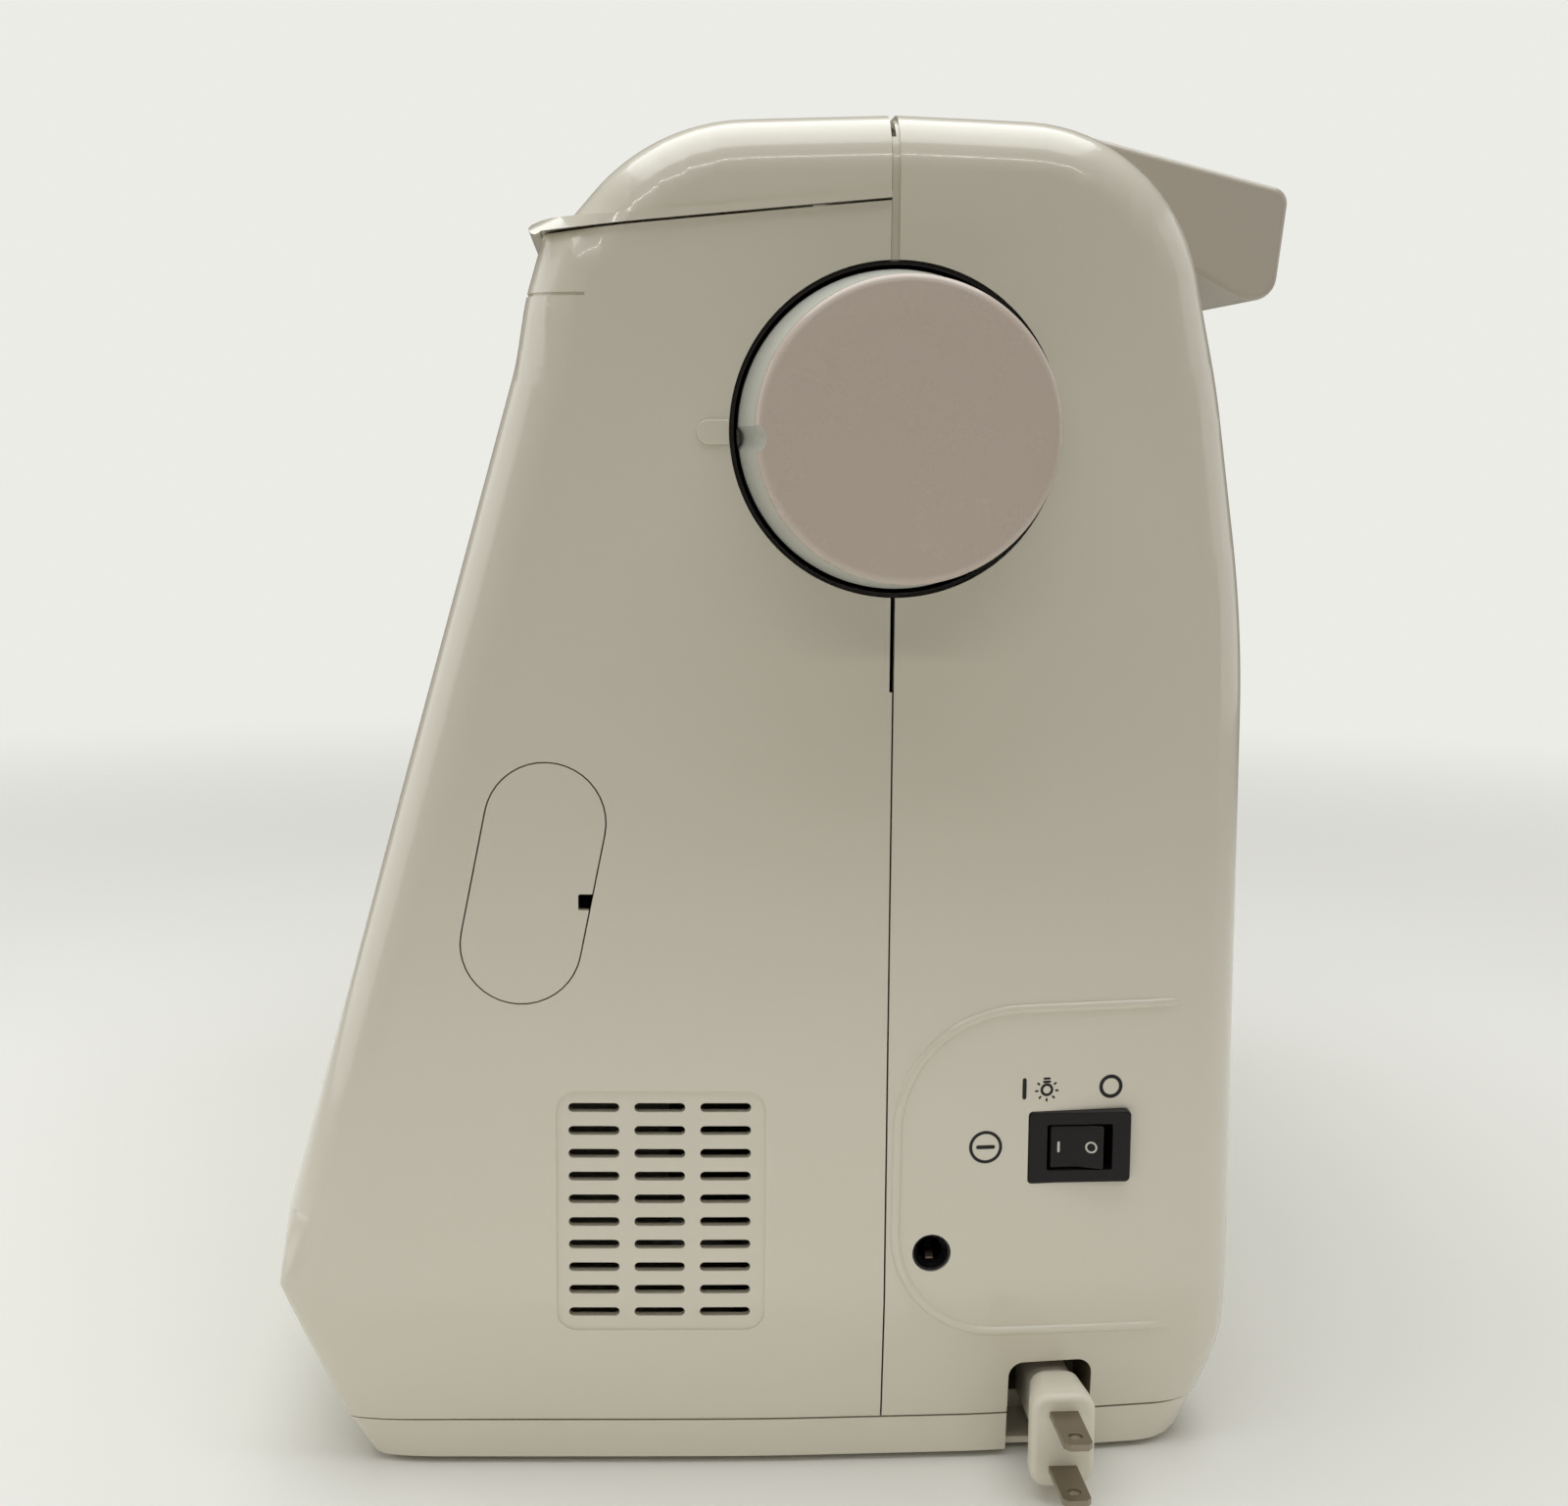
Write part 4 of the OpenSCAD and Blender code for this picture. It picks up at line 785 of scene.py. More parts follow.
def make_shell():
    """The housing's moulded wall, with room for the lid, the handle and the throat only."""
    wall = size("wall")
    shell = cut(blank(0.0), throat(0.0))
    room = cut(blank(wall), throat(wall), over_seam(LID_X - wall, SHAFT_Y + wall, -wall), handle_room(wall))
    cut(shell, room, over_seam(LID_X, SHAFT_Y, 0.0), handle_room(0.0))
    return round_some(shell, size("throat_rim"), lambda *ends: all(
        p.x < COLUMN_X + 0.2 and SPLIT_Z < p.z < ARM_Z + 0.2 for p in ends), over=40)


def slots():
    """The vent slots, modelled once and copied."""
    pattern = into_end(stadium(SLOT_L, SLOT_H, VENT_START), 30)
    found = [moved(copy_of(pattern, "slot"), 0, column * SLOT_COLUMN, -row * SLOT_ROW)
             for column in range(VENT_COLUMNS) for row in range(VENT_ROWS)]
    remove(pattern)
    return joined(found, "slots")


def front_openings():
    """The cutters for the controls on the sloping front."""
    window = on_front(prism("Y", soft_rectangle(66.6, 36.6, 4.3), -8, 30), *DISPLAY)
    keys = [on_front(prism("Y", soft_rectangle(12.7, 8.7, 2.2), -8, 30), x, KEYS_Z) for x in KEY_XS]
    buttons = [on_front(rod("Y", -10, 12, (0, 0), 6.85), x, BUTTONS_Z) for x in BUTTON_XS]
    slider = on_front(prism("Y", stadium(36, 4), -8, 20), *SLIDER)
    take_up = on_front(block((-3.5, -8, -42), (3.5, 12, 26)), *TAKE_UP)
    dial = on_front(block((-4.5, -8, -15), (4.5, 10, 15)), *DIAL)
    return [window, *keys, *buttons, slider, take_up, dial]


def make_front_shell(shell):
    """The front half: spool tray, wheel, cover and vent openings, and those of the controls."""
    front = keep(copy_of(shell, "front"),
                 block((SHELL_X0, -FAR, SPLIT_Z), (FAR, SHAFT_Y - size("seam_gap") / 2, FAR)))
    low, high = TRAY
    add(front, cut(block(low, high), over_seam(LID_X - 10, 200, 0.0)))
    panel = into_end(soft_rectangle(46.9, 56.0, 4.5, VENT_PANEL), 12)
    step = block((X_RIGHT - 24, -FAR, 264.6), (FAR, front_y(265) + 11, 265.3))
    cut(front, block(low + Vector((2, 2, 2)), high + Vector((-2, -2, 50))), wheel_room(),
        into_end(stadium(COVER_L + 0.6, COVER_W + 0.6, COVER_MIDDLE, COVER_TILT, 20), 30),
        near_skin(panel, 0.45), slots(),
        block((X_RIGHT - 30, SHAFT_Y - 0.8, 179.5), (FAR, SHAFT_Y + 1, SHAFT_Z)),
        block((X_RIGHT - 30, SHAFT_Y - 1.7, SHAFT_Z), (FAR, SHAFT_Y + 1, FAR)), near_skin(step, 0.4),
        *front_openings(), *needle_and_arm_rooms(),
        rod("Z", SEAM_FRONT_Z - 20, SEAM_FRONT_Z + 20, WINDER, 2.9))
    finish_piece(front, "cover", "root", "front_shell", slot="housing")


def make_rear_shell(shell):
    """The rear half: hinge knuckles, the plug's recess, and the switch, jack and lifter openings."""
    rear = keep(copy_of(shell, "rear"),
                block((SHELL_X0, SHAFT_Y + size("seam_gap") / 2, SPLIT_Z), (FAR, FAR, FAR)))
    walls = keep(block((X_RIGHT - RECESS_DEPTH - 2, RECESS_Y - RECESS_W / 2 - 2, SPLIT_Z),
                       (X_RIGHT - 3, RECESS_Y + RECESS_W / 2 + 2, RECESS_TOP + 2)), blank(1.4))
    tongue = add(block((X_RIGHT - 22, SHAFT_Y - 1.5, SHAFT_Z + 20), (FAR, SHAFT_Y + 3, 298.8)),
                 block((X_RIGHT - 22, SHAFT_Y - 0.5, SHAFT_Z + 20), (FAR, SHAFT_Y + 3, 303)))
    add(rear, walls, cut(keep(tongue, blank(1.1)), blank(2.6)))
    for x in KNUCKLE_XS:
        arm = block((x, HINGE[0], HINGE[1] - KNUCKLE_R), (x + KNUCKLE_W, SHAFT_Y + 1.5, HINGE[1] + 1.6))
        add(rear, add(rod("X", x, x + KNUCKLE_W, HINGE, KNUCKLE_R), arm))
        cut(rear, rod("X", x - 1, x + KNUCKLE_W + 1, HINGE, 1.2))
    recess = soft_rectangle(RECESS_W, RECESS_TOP + 5, 3.5, (RECESS_Y, (RECESS_TOP - 5) / 2))
    cut(rear, block((X_RIGHT - RECESS_DEPTH - 5, 51.45, 9.5), (X_RIGHT - RECESS_DEPTH + 1, 59.45, 19.5)),
        wheel_room(), *needle_and_arm_rooms(), into_end(soft_rectangle(20.6, 13.7, 0.5, SWITCH), 30),
        into_end(soft_rectangle(23.8, 16.9, 1, SWITCH), 3.2), end_rod(JACK, 4.4, 8, 5),
        into_end(recess, RECESS_DEPTH),
        block((NEEDLE_X - 6, Y_REAR - 12, HEAD_Z + 6), (NEEDLE_X + 6, Y_REAR + 5, HEAD_Z + 74)))
    for x in (HANDLE_X0 - 6.8, HANDLE_X1 - 2):
        cut(rear, rod("X", x, x + 8.8, PIVOT, 2.55))
    finish_piece(rear, "cover", "root", "rear_shell", slot="housing")
    # The recess's inner walls get painted shade: a dark brown finish in place of the shadow inside the recess.
    second_finish(rear, "recess", lambda x, y, z: abs(y - RECESS_Y) < RECESS_W / 2 + 0.2
                  and z < RECESS_TOP + 0.2 and x < side_x(y, z) - 0.6)


def make_housing():
    """The front, rear and face shells, cut from one moulded wall."""
    shell = make_shell()
    make_front_shell(shell)
    make_rear_shell(shell)
    face = keep(copy_of(shell, "face"), block((X_LEFT - 5, -FAR, 0), (FACE_X - 0.12, FAR, FAR)))
    finish_piece(face, "cover", "root", "face_cover", slot="housing")
    remove(shell)


def make_base():
    """The base cover: a shallow tray under the column and the free arm, with seats for the feet."""
    floor, wall, arm_x = FOOT_Z + 2.8, 2.8, NEEDLE_X - 62
    deeper = [(-89.6, BASE_Z - 14, 0), *SIDE_CORNERS[1:-1], (85.1, BASE_Z - 14, 0)]
    profile = [(*SIDE_CORNERS[0][:2], 5), *SIDE_CORNERS[1:]]
    base = named(blank(0.25, deeper), "base_form")
    keep(base, prism("X", rounded(profile, 6), -FAR, FAR),
         block((COLUMN_X, -FAR, 0), (FAR, FAR, SPLIT_Z - 0.45)))
    add(base, block((arm_x, ARM_Y0, FOOT_Z), (COLUMN_X + 1, ARM_Y1, SPLIT_Z - 0.3)))
    round_some(base, 1.2, lambda a, b: max(a.z, b.z) < BASE_Z + 0.4, over=50)
    room = keep(blank(3.0), block((COLUMN_X + 3, -FAR, floor), (FAR, FAR, FAR)))
    arm_room = block((arm_x + 3, ARM_Y0 + wall, floor), (COLUMN_X + 5, ARM_Y1 - wall, FAR))
    cut(base, add(room, arm_room),
        into_end(soft_rectangle(RECESS_W, 20, 0, (RECESS_Y, BASE_Z + 11.5)), RECESS_DEPTH),
        into_end(soft_rectangle(RECESS_W, 30, 0, (RECESS_Y, 10)), 9),
        *(rod("Z", 0, box_mm("rubber_feet")[1].z, place, 8.1) for place in FOOT_PLACES))
    finish_piece(base, "cover", "root", "base_cover", slot="housing")


def make_feet():
    """Rubber feet with a dished sole and a rounded rim."""
    feet = [cut(round_edges(rod("Z", 0, FOOT_Z + 1.2, place, 8, sides=48), 0.9, 60),
                rod("Z", -1, 0.6, place, 4.5, sides=40)) for place in FOOT_PLACES]
    finish_piece(joined(feet, "feet"), "foot_rubber", "root", "rubber_feet", slot="rubber")


# ---------------------------------------------------------------- lid and handle


def make_lid():
    """The top lid: a hollow dome with a flange along its edge that flares into the front lip."""
    left, rear, wall = LID_X + 0.3, SHAFT_Y - 1.7, 2.4
    dome = named(keep(blank(0.0), over_seam(left, rear, 0.5)), "dome")
    cut(dome, keep(blank(wall), block((left + wall, -FAR, 0), (FAR, FAR, FAR))))
    lip = blank(-0.95)
    for vertex in lip.data.vertices:
        vertex.co.y -= 4.6 * held((-38 - vertex.co.y / MM) / 18) ** 2 * MM
    nose = [(-52, 281.6), (-57, 281.3), (-59.8, 280.7), (-61.2, 280.0), (-61.8, 279.1), (-61.7, 278.4),
            (-61.2, 277.8), (-60.4, 277.5), (-59.6, 277.8), (-59.0, 278.35)]
    thickness = [(-46, 2.2), (-38, 1.8), (-20, 1.55), (rear, 1.4)]
    under = [(y, seam_z(y) + 0.5) for y, _ in thickness]
    over = [(y, seam_z(y) + 0.5 + thick) for y, thick in reversed(thickness)]
    keep(lip, prism("X", nose + under + over, left, FAR))
    round_some(lip, 1.2, lambda a, b: max(a.y, b.y) < -54 and min(a.x, b.x) > X_RIGHT - 30, over=50)
    round_some(lip, 0.6, lambda a, b: min(a.y, b.y) > -56 and max(a.y, b.y) < SHAFT_Y - 2
               and min(a.x, b.x) > left + 0.2, over=50, segments=3)
    add(dome, cut(lip, blank(wall)))
    for x in KNUCKLE_XS:
        cut(dome, block((x - 0.3, HINGE[0] - 2.7, HINGE[1] - 4), (x + KNUCKLE_W + 0.3, SHAFT_Y + 1, TOP_Z + 1)))
        for start in (x - 6.3, x + KNUCKLE_W + 0.3):
            add(dome, rod("X", start, start + 6, HINGE, KNUCKLE_R, sides=32))
        cut(dome, rod("X", x - 6.4, x + KNUCKLE_W + 6.4, HINGE, 1.25, sides=32))
    finish_piece(dome, "cover", "lid", "top_lid", slot="housing")


def make_handle():
    """The carry handle: two arms and a grip."""
    arm_width = 17
    handle = prism("X", rounded(HANDLE_CORNERS, 8), HANDLE_X0, HANDLE_X1, "handle")
    cut(handle, block((HANDLE_X0 + arm_width, -FAR, 0), (HANDLE_X1 - arm_width, HANDLE_Y - 30, FAR)))
    round_edges(handle, 1.5, 50, 4)
    for x in (HANDLE_X0 - 1, HANDLE_X1 - 9):
        cut(handle, rod("X", x, x + 10, PIVOT, 2.5, sides=32))
    finish_piece(handle, "handle", "handle", "carry_handle", slot="housing")


# ---------------------------------------------------------------- handwheel

WHEEL_BACK, WHEEL_R, SKIRT_R, WHEEL_OUT, HUB_R = X_RIGHT - 10, 31.9, 34.3, 24.0, 9.0


def make_handwheel():
    """The handwheel: a tapered grey skirt, a cap with a full round rim, and a thumb notch."""
    face = WHEEL_BACK + 10 + WHEEL_OUT
    outline = [(WHEEL_BACK, HUB_R, 0), (WHEEL_BACK, SKIRT_R, 0.5), (WHEEL_BACK + 9, SKIRT_R, 4),
               (face - 4.2, WHEEL_R - 0.15, 0.2), (face - 3.8, WHEEL_R + 0.25, 0.2), (face - 0.2, WHEEL_R, 1.9),
               (face, WHEEL_R - 7, 40), (face - 0.6, 0.0, 0), (face - 4, 0.0, 0), (face - 4, WHEEL_R - 4, 1),
               (WHEEL_BACK + 1, SKIRT_R - 4, 1), (WHEEL_BACK + 1, HUB_R, 0)]
    hub = [(WHEEL_BACK, HUB_R, 0.5), (face - 3, HUB_R, 0), (face - 3, 6, 0), (WHEEL_BACK, 6, 0.5)]
    wheel = turned("X", rounded(outline, 7), SHAFT, "wheel", 128)
    add(wheel, turned("X", rounded(hub, 4), SHAFT, "hub", 64))
    scoop = rod("X", WHEEL_BACK + 4, face + 4, (0, SHAFT_Z - 2), 3.3, sides=48)
    for vertex in scoop.data.vertices:
        along = (vertex.co.x / MM - WHEEL_BACK - 10) / WHEEL_OUT
        vertex.co.y += (SHAFT_Y - 36.1 + 3.0 * along) * MM
    cut(wheel, scoop)
    finish_piece(wheel, "wheel", "wheel", "handwheel", slot="grey_plastic", crease=40)
    second_finish(wheel, "wheel_side", lambda x, y, z: x < WHEEL_BACK + 30
                  and math.hypot(y - SHAFT_Y, z - SHAFT_Z) > WHEEL_R - 2.6)


def make_ring():
    """The dark ring sunk round the handwheel."""
    back, inner = X_RIGHT - 13.5, SKIRT_R + 0.9
    front = back + 12.7
    outline = [(back, HUB_R + 1, 0), (back, RING_R, 0), (front, RING_R, 0.3), (front, inner, 0.3),
               (back + 1.5, inner, 1), (back + 1.5, HUB_R + 1, 0)]
    ring = turned("X", rounded(outline, 5), SHAFT, "ring", 128)
    finish_piece(ring, "gloss_dark", "root", "wheel_ring", slot="black_plastic")


def make_index_mark():
    """The raised tab that the wheel's notch is read against."""
    tab = near_skin(into_end(stadium(14, 5.3, (SHAFT_Y - 36.3, SHAFT_Z - 0.6), 0.0, 10), 4), 1.0)
    cut(keep(tab, blank(-0.55)), wheel_room())
    finish_piece(named(round_edges(tab, 0.3, 50), "index_mark"), "cover", "root", slot="housing")


# ---------------------------------------------------------------- details of the handwheel end


def make_service_cover():
    """The oval cover over the bulb, with the slot that a blade lifts it by."""
    cover = into_end(stadium(COVER_L, COVER_W, COVER_MIDDLE, COVER_TILT, 20), 12, name="cover")
    near_skin(keep(cover, blank(0.0)), 2.5)
    along = Vector((math.cos(COVER_TILT), math.sin(COVER_TILT)))
    notch = Vector(COVER_MIDDLE) + Vector((along.y, -along.x)) * (COVER_W / 2 - 1.0) - along * 1.7
    cut(cover, moved(into_end(soft_rectangle(3.4, 3.6, 0.4), 8), 0, *notch))
    round_some(cover, 0.25, lambda *ends: all(p.x - side_x(p.y, p.z) > -0.4 for p in ends), over=45, segments=2)
    finish_piece(cover, "cover", "root", "service_cover", slot="housing")


def surface_tube(points, radius, sink, name):
    """A round bead that follows points (y, z) on the handwheel end's face."""
    curve = bpy.data.curves.new(name, "CURVE")
    curve.dimensions = "3D"
    curve.bevel_depth, curve.bevel_resolution, curve.use_fill_caps = radius * MM, 4, True
    spline = curve.splines.new("POLY")
    spline.points.add(len(points) - 1)
    for point, (y, z) in zip(spline.points, points):
        point.co = (*(Vector((side_x(y, z) - sink, y, z)) * MM), 1)
    piece = bpy.data.objects.new(name, curve)
    bpy.context.scene.collection.objects.link(piece)
    only(piece)
    bpy.ops.object.convert(target="MESH")
    with editing(bpy.context.object) as mesh:
        on_all((mesh.remove_doubles, {"threshold": 0.00001}), (mesh.normals_make_consistent, {"inside": False}))
    return named(bpy.context.object, name)


def make_bead():
    """The raised bead that frames the switch, jack and mark, and sinks into the face at its ends."""
    rear = 84.5
    outline = rounded([(rear, 108.2, 0), (20.2, 107.6, 28), (19.4, 32.6, 24), (rear, 31.2, 0)], 16)
    dense = []
    for a, b in zip(outline, outline[1:]):
        count = max(1, int((b - a).length / 3))
        dense += [a.lerp(b, k / count) for k in range(count)]
    bead = surface_tube([*dense, outline[-1]], 1.15, 0.35, "switch_bead")
    for vertex in bead.data.vertices:
        vertex.co.x -= (1 - held((rear - vertex.co.y / MM) / 5)) * 0.5 * MM
    finish_piece(bead, "cover", "root", slot="housing", crease=60)


def make_marks():
    """The printed marks round the switch: on, lamp and off, and a plain ring and bar by the jack."""
    upright, lamp, plain = math.pi / 2, (53.95, 88.9), (40.05, 76.0)

    def bar(length, width, middle, angle=0.0):
        return into_end(stadium(length, width, middle, angle, 5), 8, 2)

    def ring(middle, radius, line):
        return cut(end_rod(middle, radius, 8, 2, sides=40), end_rod(middle, radius - line, 9, 3, sides=40))

    shapes = [bar(5.0, 0.95, (48.75, 89.3), upright), ring((68.95, 89.1), 2.75, 0.85), ring(lamp, 1.5, 0.62),
              bar(1.9, 0.55, (lamp[0], 90.75)), bar(1.7, 0.5, (lamp[0], 91.5)),
              ring(plain, 3.8, 0.72), bar(4.4, 0.9, plain)]
    for turn in (math.radians(-216 + k * 42) for k in range(7)):
        place = (lamp[0] + 2.35 * math.cos(turn), lamp[1] + 2.35 * math.sin(turn))
        shapes.append(bar(0.85, 0.45, place, turn))
    ink = keep(joined(shapes, "side_marks"), blank(-0.04))
    finish_piece(near_skin(ink, 0.08), "ink", "root", crease=None)


# ---------------------------------------------------------------- switch, jack and plug

BEZEL_X, ROCKER_X, ROCKER_TILT = X_RIGHT - 1.87, X_RIGHT - 5.87, math.radians(8)
ROCKER_L, ROCKER_H = 12.4, 10.0


def make_bezel():
    """The switch's frame: a flange on the housing, a sloping inner rim and the switch's body."""
    bezel = prism("X", soft_rectangle(23.6, 16.7, 1.2, SWITCH), BEZEL_X - 1.2, BEZEL_X + 1.2, "bezel")
    round_some(bezel, 0.5, lambda a, b: min(a.x, b.x) > BEZEL_X + 1, over=30, segments=3, clamp=False)
    add(bezel, prism("X", soft_rectangle(19.6, 12.7, 0.6, SWITCH), BEZEL_X - 15, BEZEL_X - 1))
    cut(bezel, prism("X", soft_rectangle(15, 10.6, 0.4, SWITCH), BEZEL_X - 13, BEZEL_X + 5),
        rod("Z", SWITCH[1] - 6.4, SWITCH[1] + 6.4, (ROCKER_X, SWITCH[0]), 1.05, sides=24))
    round_some(bezel, 0.35, lambda a, b: min(a.x, b.x) > BEZEL_X + 1.15, over=69, segments=2)
    finish_piece(bezel, "dark", "root", "switch_bezel", slot="black_plastic")


def on_rocker(piece):
    piece.data.transform(Matrix.Rotation(-ROCKER_TILT, 4, "Z"))
    return moved(piece, ROCKER_X, *SWITCH)


def make_rocker():
    """The rocker: a dished key with rounded ends, on its pivot, and its two marks."""
    half = ROCKER_L / 2
    outline = rounded([(-4, -3, 0.5), (3, 0.4 - half, 0.6), (5.6, -half, 0.5), (4.4, 0, 8),
                       (5.6, half, 0.5), (3, half - 0.4, 0.6), (-4, 3, 0.5)], 5)
    rocker = round_edges(prism("Z", outline, -ROCKER_H / 2, ROCKER_H / 2, "rocker"), 0.4, 60)
    add(rocker, rod("Z", -ROCKER_H / 2 - 1.2, ROCKER_H / 2 + 1.2, (0, 0), 1.0, sides=24))
    finish_piece(on_rocker(rocker), "dark", "rocker", "power_rocker", slot="black_plastic", crease=40)
    skin = [(5.5, -half), (4.3, 0), (5.5, half), (5.66, half), (4.46, 0), (5.66, -half)]
    bar = prism("X", soft_rectangle(0.55, 2.5, 0.2, (-4.1, 0)), 3, 7)
    circle = cut(rod("X", 3, 7, (3.3, 0), 1.35, sides=40), rod("X", 2, 8, (3.3, 0), 0.95, sides=40))
    marks = keep(joined([bar, circle], "rocker_marks"), prism("Z", skin, -5, 5))
    finish_piece(on_rocker(marks), "pale_ink", "rocker", crease=None)


def make_jack():
    """The pedal jack: a flared mouth, a bore and the leaf contact in it."""
    back, front, (y, z) = X_RIGHT - 16, X_RIGHT - 0.8, JACK
    outline = [(back, 0, 0), (back, 4.4, 0.3), (front, 4.4, 0.1), (front, 3.9, 0.1), (front - 1.2, 3.5, 0.4),
               (front - 2.4, 2.75, 0.4), (back + 2, 2.75, 0.2), (back + 2, 0, 0)]
    jack = turned("X", rounded(outline, 3), JACK, "jack", 64)
    finish_piece(jack, "gloss_dark", "root", "pedal_jack", slot="black_plastic", crease=40)
    leaf = rounded([(back + 2.5, z - 2.4, 0), (front - 5, z - 0.3, 3), (front - 2.8, z - 2.3, 0.4),
                    (front - 2.9, z - 2.6, 0), (front - 5, z - 0.6, 3), (back + 2.5, z - 2.7, 0)], 5)
    contact = round_edges(prism("Y", leaf, y - 0.9, y + 0.9, "jack_contact"), 0.08, 50, 2)
    finish_piece(contact, "blade", "root", slot="steel")


PLUG_Y, PLUG_Z, BLADE_W, BLADE_T, BLADE_GAP = 55.45, 14.5, 6.3, 1.5, 12.7
NECK = NECK_Y, NECK_Z = PLUG_Y + 1.8, PLUG_Z - 1


def blade(side, grow=0.0):
    """One plug blade, with its tip tapered."""
    back, tip, half = X_RIGHT + 10, X_RIGHT + 37.5, BLADE_W / 2 + grow
    half_plan = [(back, half), (tip - 1.6, half), (tip, half - 1.1)]
    plan = [(x, PLUG_Y - y) for x, y in half_plan] + [(x, PLUG_Y + y) for x, y in reversed(half_plan)]
    middle, thick = PLUG_Z + side * BLADE_GAP / 2, BLADE_T / 2 + grow
    return prism("Z", plan, middle - thick, middle + thick, "blades")


def make_plug():
    """The moulded plug: a rounded face with finger grips, its neck, and two nickel blades."""
    body = into_end(soft_rectangle(14.4, 21.6, 4, (PLUG_Y, PLUG_Z), 8), 1.2, 20, "plug")
    round_some(body, 1.6, lambda a, b: min(a.x, b.x) > X_RIGHT + 19, over=30, segments=5, clamp=False)
    round_some(body, 0.8, lambda a, b: max(a.x, b.x) < X_RIGHT, over=30, segments=3, clamp=False)
    slice_across(body, "X", [X_RIGHT + 3 * k for k in range(1, 6)])
    for vertex in body.data.vertices:
        x, y, z = vertex.co / MM
        back = held((X_RIGHT + 16 - x) / 17.2)
        vertex.co.y = (PLUG_Y + (NECK_Y - PLUG_Y) * back + (y - PLUG_Y) * (1 - 0.22 * back)) * MM
        vertex.co.z = (NECK_Z + (z - NECK_Z) * (1 - 0.26 * back)) * MM
    for x in (X_RIGHT + 5.0 + 2.8 * k for k in range(4)):
        cut(body, *(rod("Z", PLUG_Z - 5, PLUG_Z + 3, (x, PLUG_Y + side * 7.6), 1.0, sides=24)
                    for side in (-1, 1)))
    add(body, prism("X", soft_rectangle(10.4, 15.4, 4, NECK), X_RIGHT - 22, X_RIGHT - 0.8))
    cut(body, blade(-1, 0.01), blade(1, 0.01))
    finish_piece(body, "plug", "root", "plug_body", slot="cord_vinyl")
    blades = joined([blade(-1), blade(1)], "blades")
    cut(blades, rod("Z", 0, 40, (X_RIGHT + 33, PLUG_Y), 1.5, sides=32))
    finish_piece(round_edges(blades, 0.3, 40), "blade", "root", "plug_blades", slot="steel")


# ---------------------------------------------------------------- arm, table and plates


def make_free_arm():
    """The free arm's cover: a rounded shell with room for the needle plate and the bobbin cover."""
    right, wall = COLUMN_X - 0.1, 2.5

    def plan(end, inset, radius):
        left, front, rear = FACE_X + inset, ARM_Y0 + inset, ARM_Y1 - inset
        return rounded([(left, front, radius), (end, front, 0), (end, rear, 0), (left, rear, radius)], 10)

    arm = prism("Z", plan(right, 0, 14), SPLIT_Z, BED_Z, "arm")
    round_some(arm, 1.6, lambda a, b: min(a.z, b.z) > BED_Z - 0.1 and min(a.x, b.x) < right - 1)
    low, high = box_mm("needle_plate")
    cover_y = box_mm("bobbin_cover")[0].y
    cut(arm, prism("Z", plan(right + 5, wall, 11.5), SPLIT_Z - 1, BED_Z - wall),
        block((low.x - 0.3, low.y - 0.3, BED_Z - 5), (high.x + 0.3, high.y + 0.3, BED_Z + 1)),
        block((NEEDLE_X - 20.3, cover_y - 0.6, BED_Z - 5), (NEEDLE_X + 20.3, low.y + 1, BED_Z + 1)),
        rod("X", NEEDLE_X - 22.3, NEEDLE_X + 22.3, (cover_y + 1, BED_Z - 1), 0.65, sides=20))
    finish_piece(arm, "cover", "root", "free_arm_cover", slot="housing")


def make_table():
    """The accessory table round the free arm, and the lid of its box with a shallow finger pull."""
    table = cad_copy("accessory_table", "table_form")
    round_some(table, 1.3, lambda a, b: min(a.z, b.z) > BED_Z - 0.05 and max(a.x, b.x) < COLUMN_X - 1)
    round_edges(table, 0.25, 50, 2)
    finish_piece(table, "cover", "table", "accessory_table", slot="housing")
    lid = cad_copy("table_lid", "table_lid_form")
    round_some(lid, 0.6, lambda a, b: min(a.z, b.z) > BED_Z - 0.05, segments=3)
    low, high = box_mm("table_lid")
    cut(lid, prism("Z", stadium(34, 9, ((low.x + high.x) / 2, low.y + 9)), BED_Z - 0.9, BED_Z + 1))
    finish_piece(lid, "cover", "table_lid", "table_lid", slot="housing")


def make_plates():
    """The needle plate with its engraved seam guides, and the clear cover over the bobbin."""
    plate = round_edges(cad_copy("needle_plate", "plate"), 0.25, 50, 2)
    low, high = box_mm("needle_plate")
    for side in (-1, 1):
        for x in (NEEDLE_X + side * (13 + 3.2 * k) for k in range(3)):
            if low.x + 1 < x < high.x - 1:
                cut(plate, block((x - 0.2, SHAFT_Y - 4, BED_Z - 0.2), (x + 0.2, SHAFT_Y + 12, BED_Z + 1)))
    finish_piece(plate, "plate", "root", "needle_plate", slot="steel")
    dressed("bobbin_cover", "clear", "bobbin_cover", "clear_plastic", 0.25, 40)


# ---------------------------------------------------------------- controls

DIGITS = (-14.0, -5.0, 5.0, 14.0)
DIGIT_BARS = ((0, 4.2), (0, 0), (0, -4.2), (-2.3, 2.1), (2.3, 2.1), (-2.3, -2.1), (2.3, -2.1))


def make_display():
    """The display: a glossy window with a rounded rim over a dark panel with lit figures."""
    window = prism("Y", soft_rectangle(66, 36, 4, steps=8), -0.3, 2.8, "display")
    round_some(window, 0.5, lambda a, b: max(a.y, b.y) < 0.3, over=30, segments=3)
    add(window, prism("Y", soft_rectangle(58, 28, 1, steps=3), 2.6, 8.8))
    finish_piece(on_front(window, *DISPLAY), "window", "root", "display_window", slot="display")
    bars = []
    for digit in DIGITS:
        for x, z in DIGIT_BARS:
            width, height = (0.8, 3.4) if x else (3.6, 0.8)
            bars.append(prism("Y", soft_rectangle(width, height, 0.3, (digit + x, z), 2), -0.34, -0.26))
    figures = on_front(joined(bars, "display_figures"), *DISPLAY)
    finish_piece(figures, "figures", "root", crease=None)


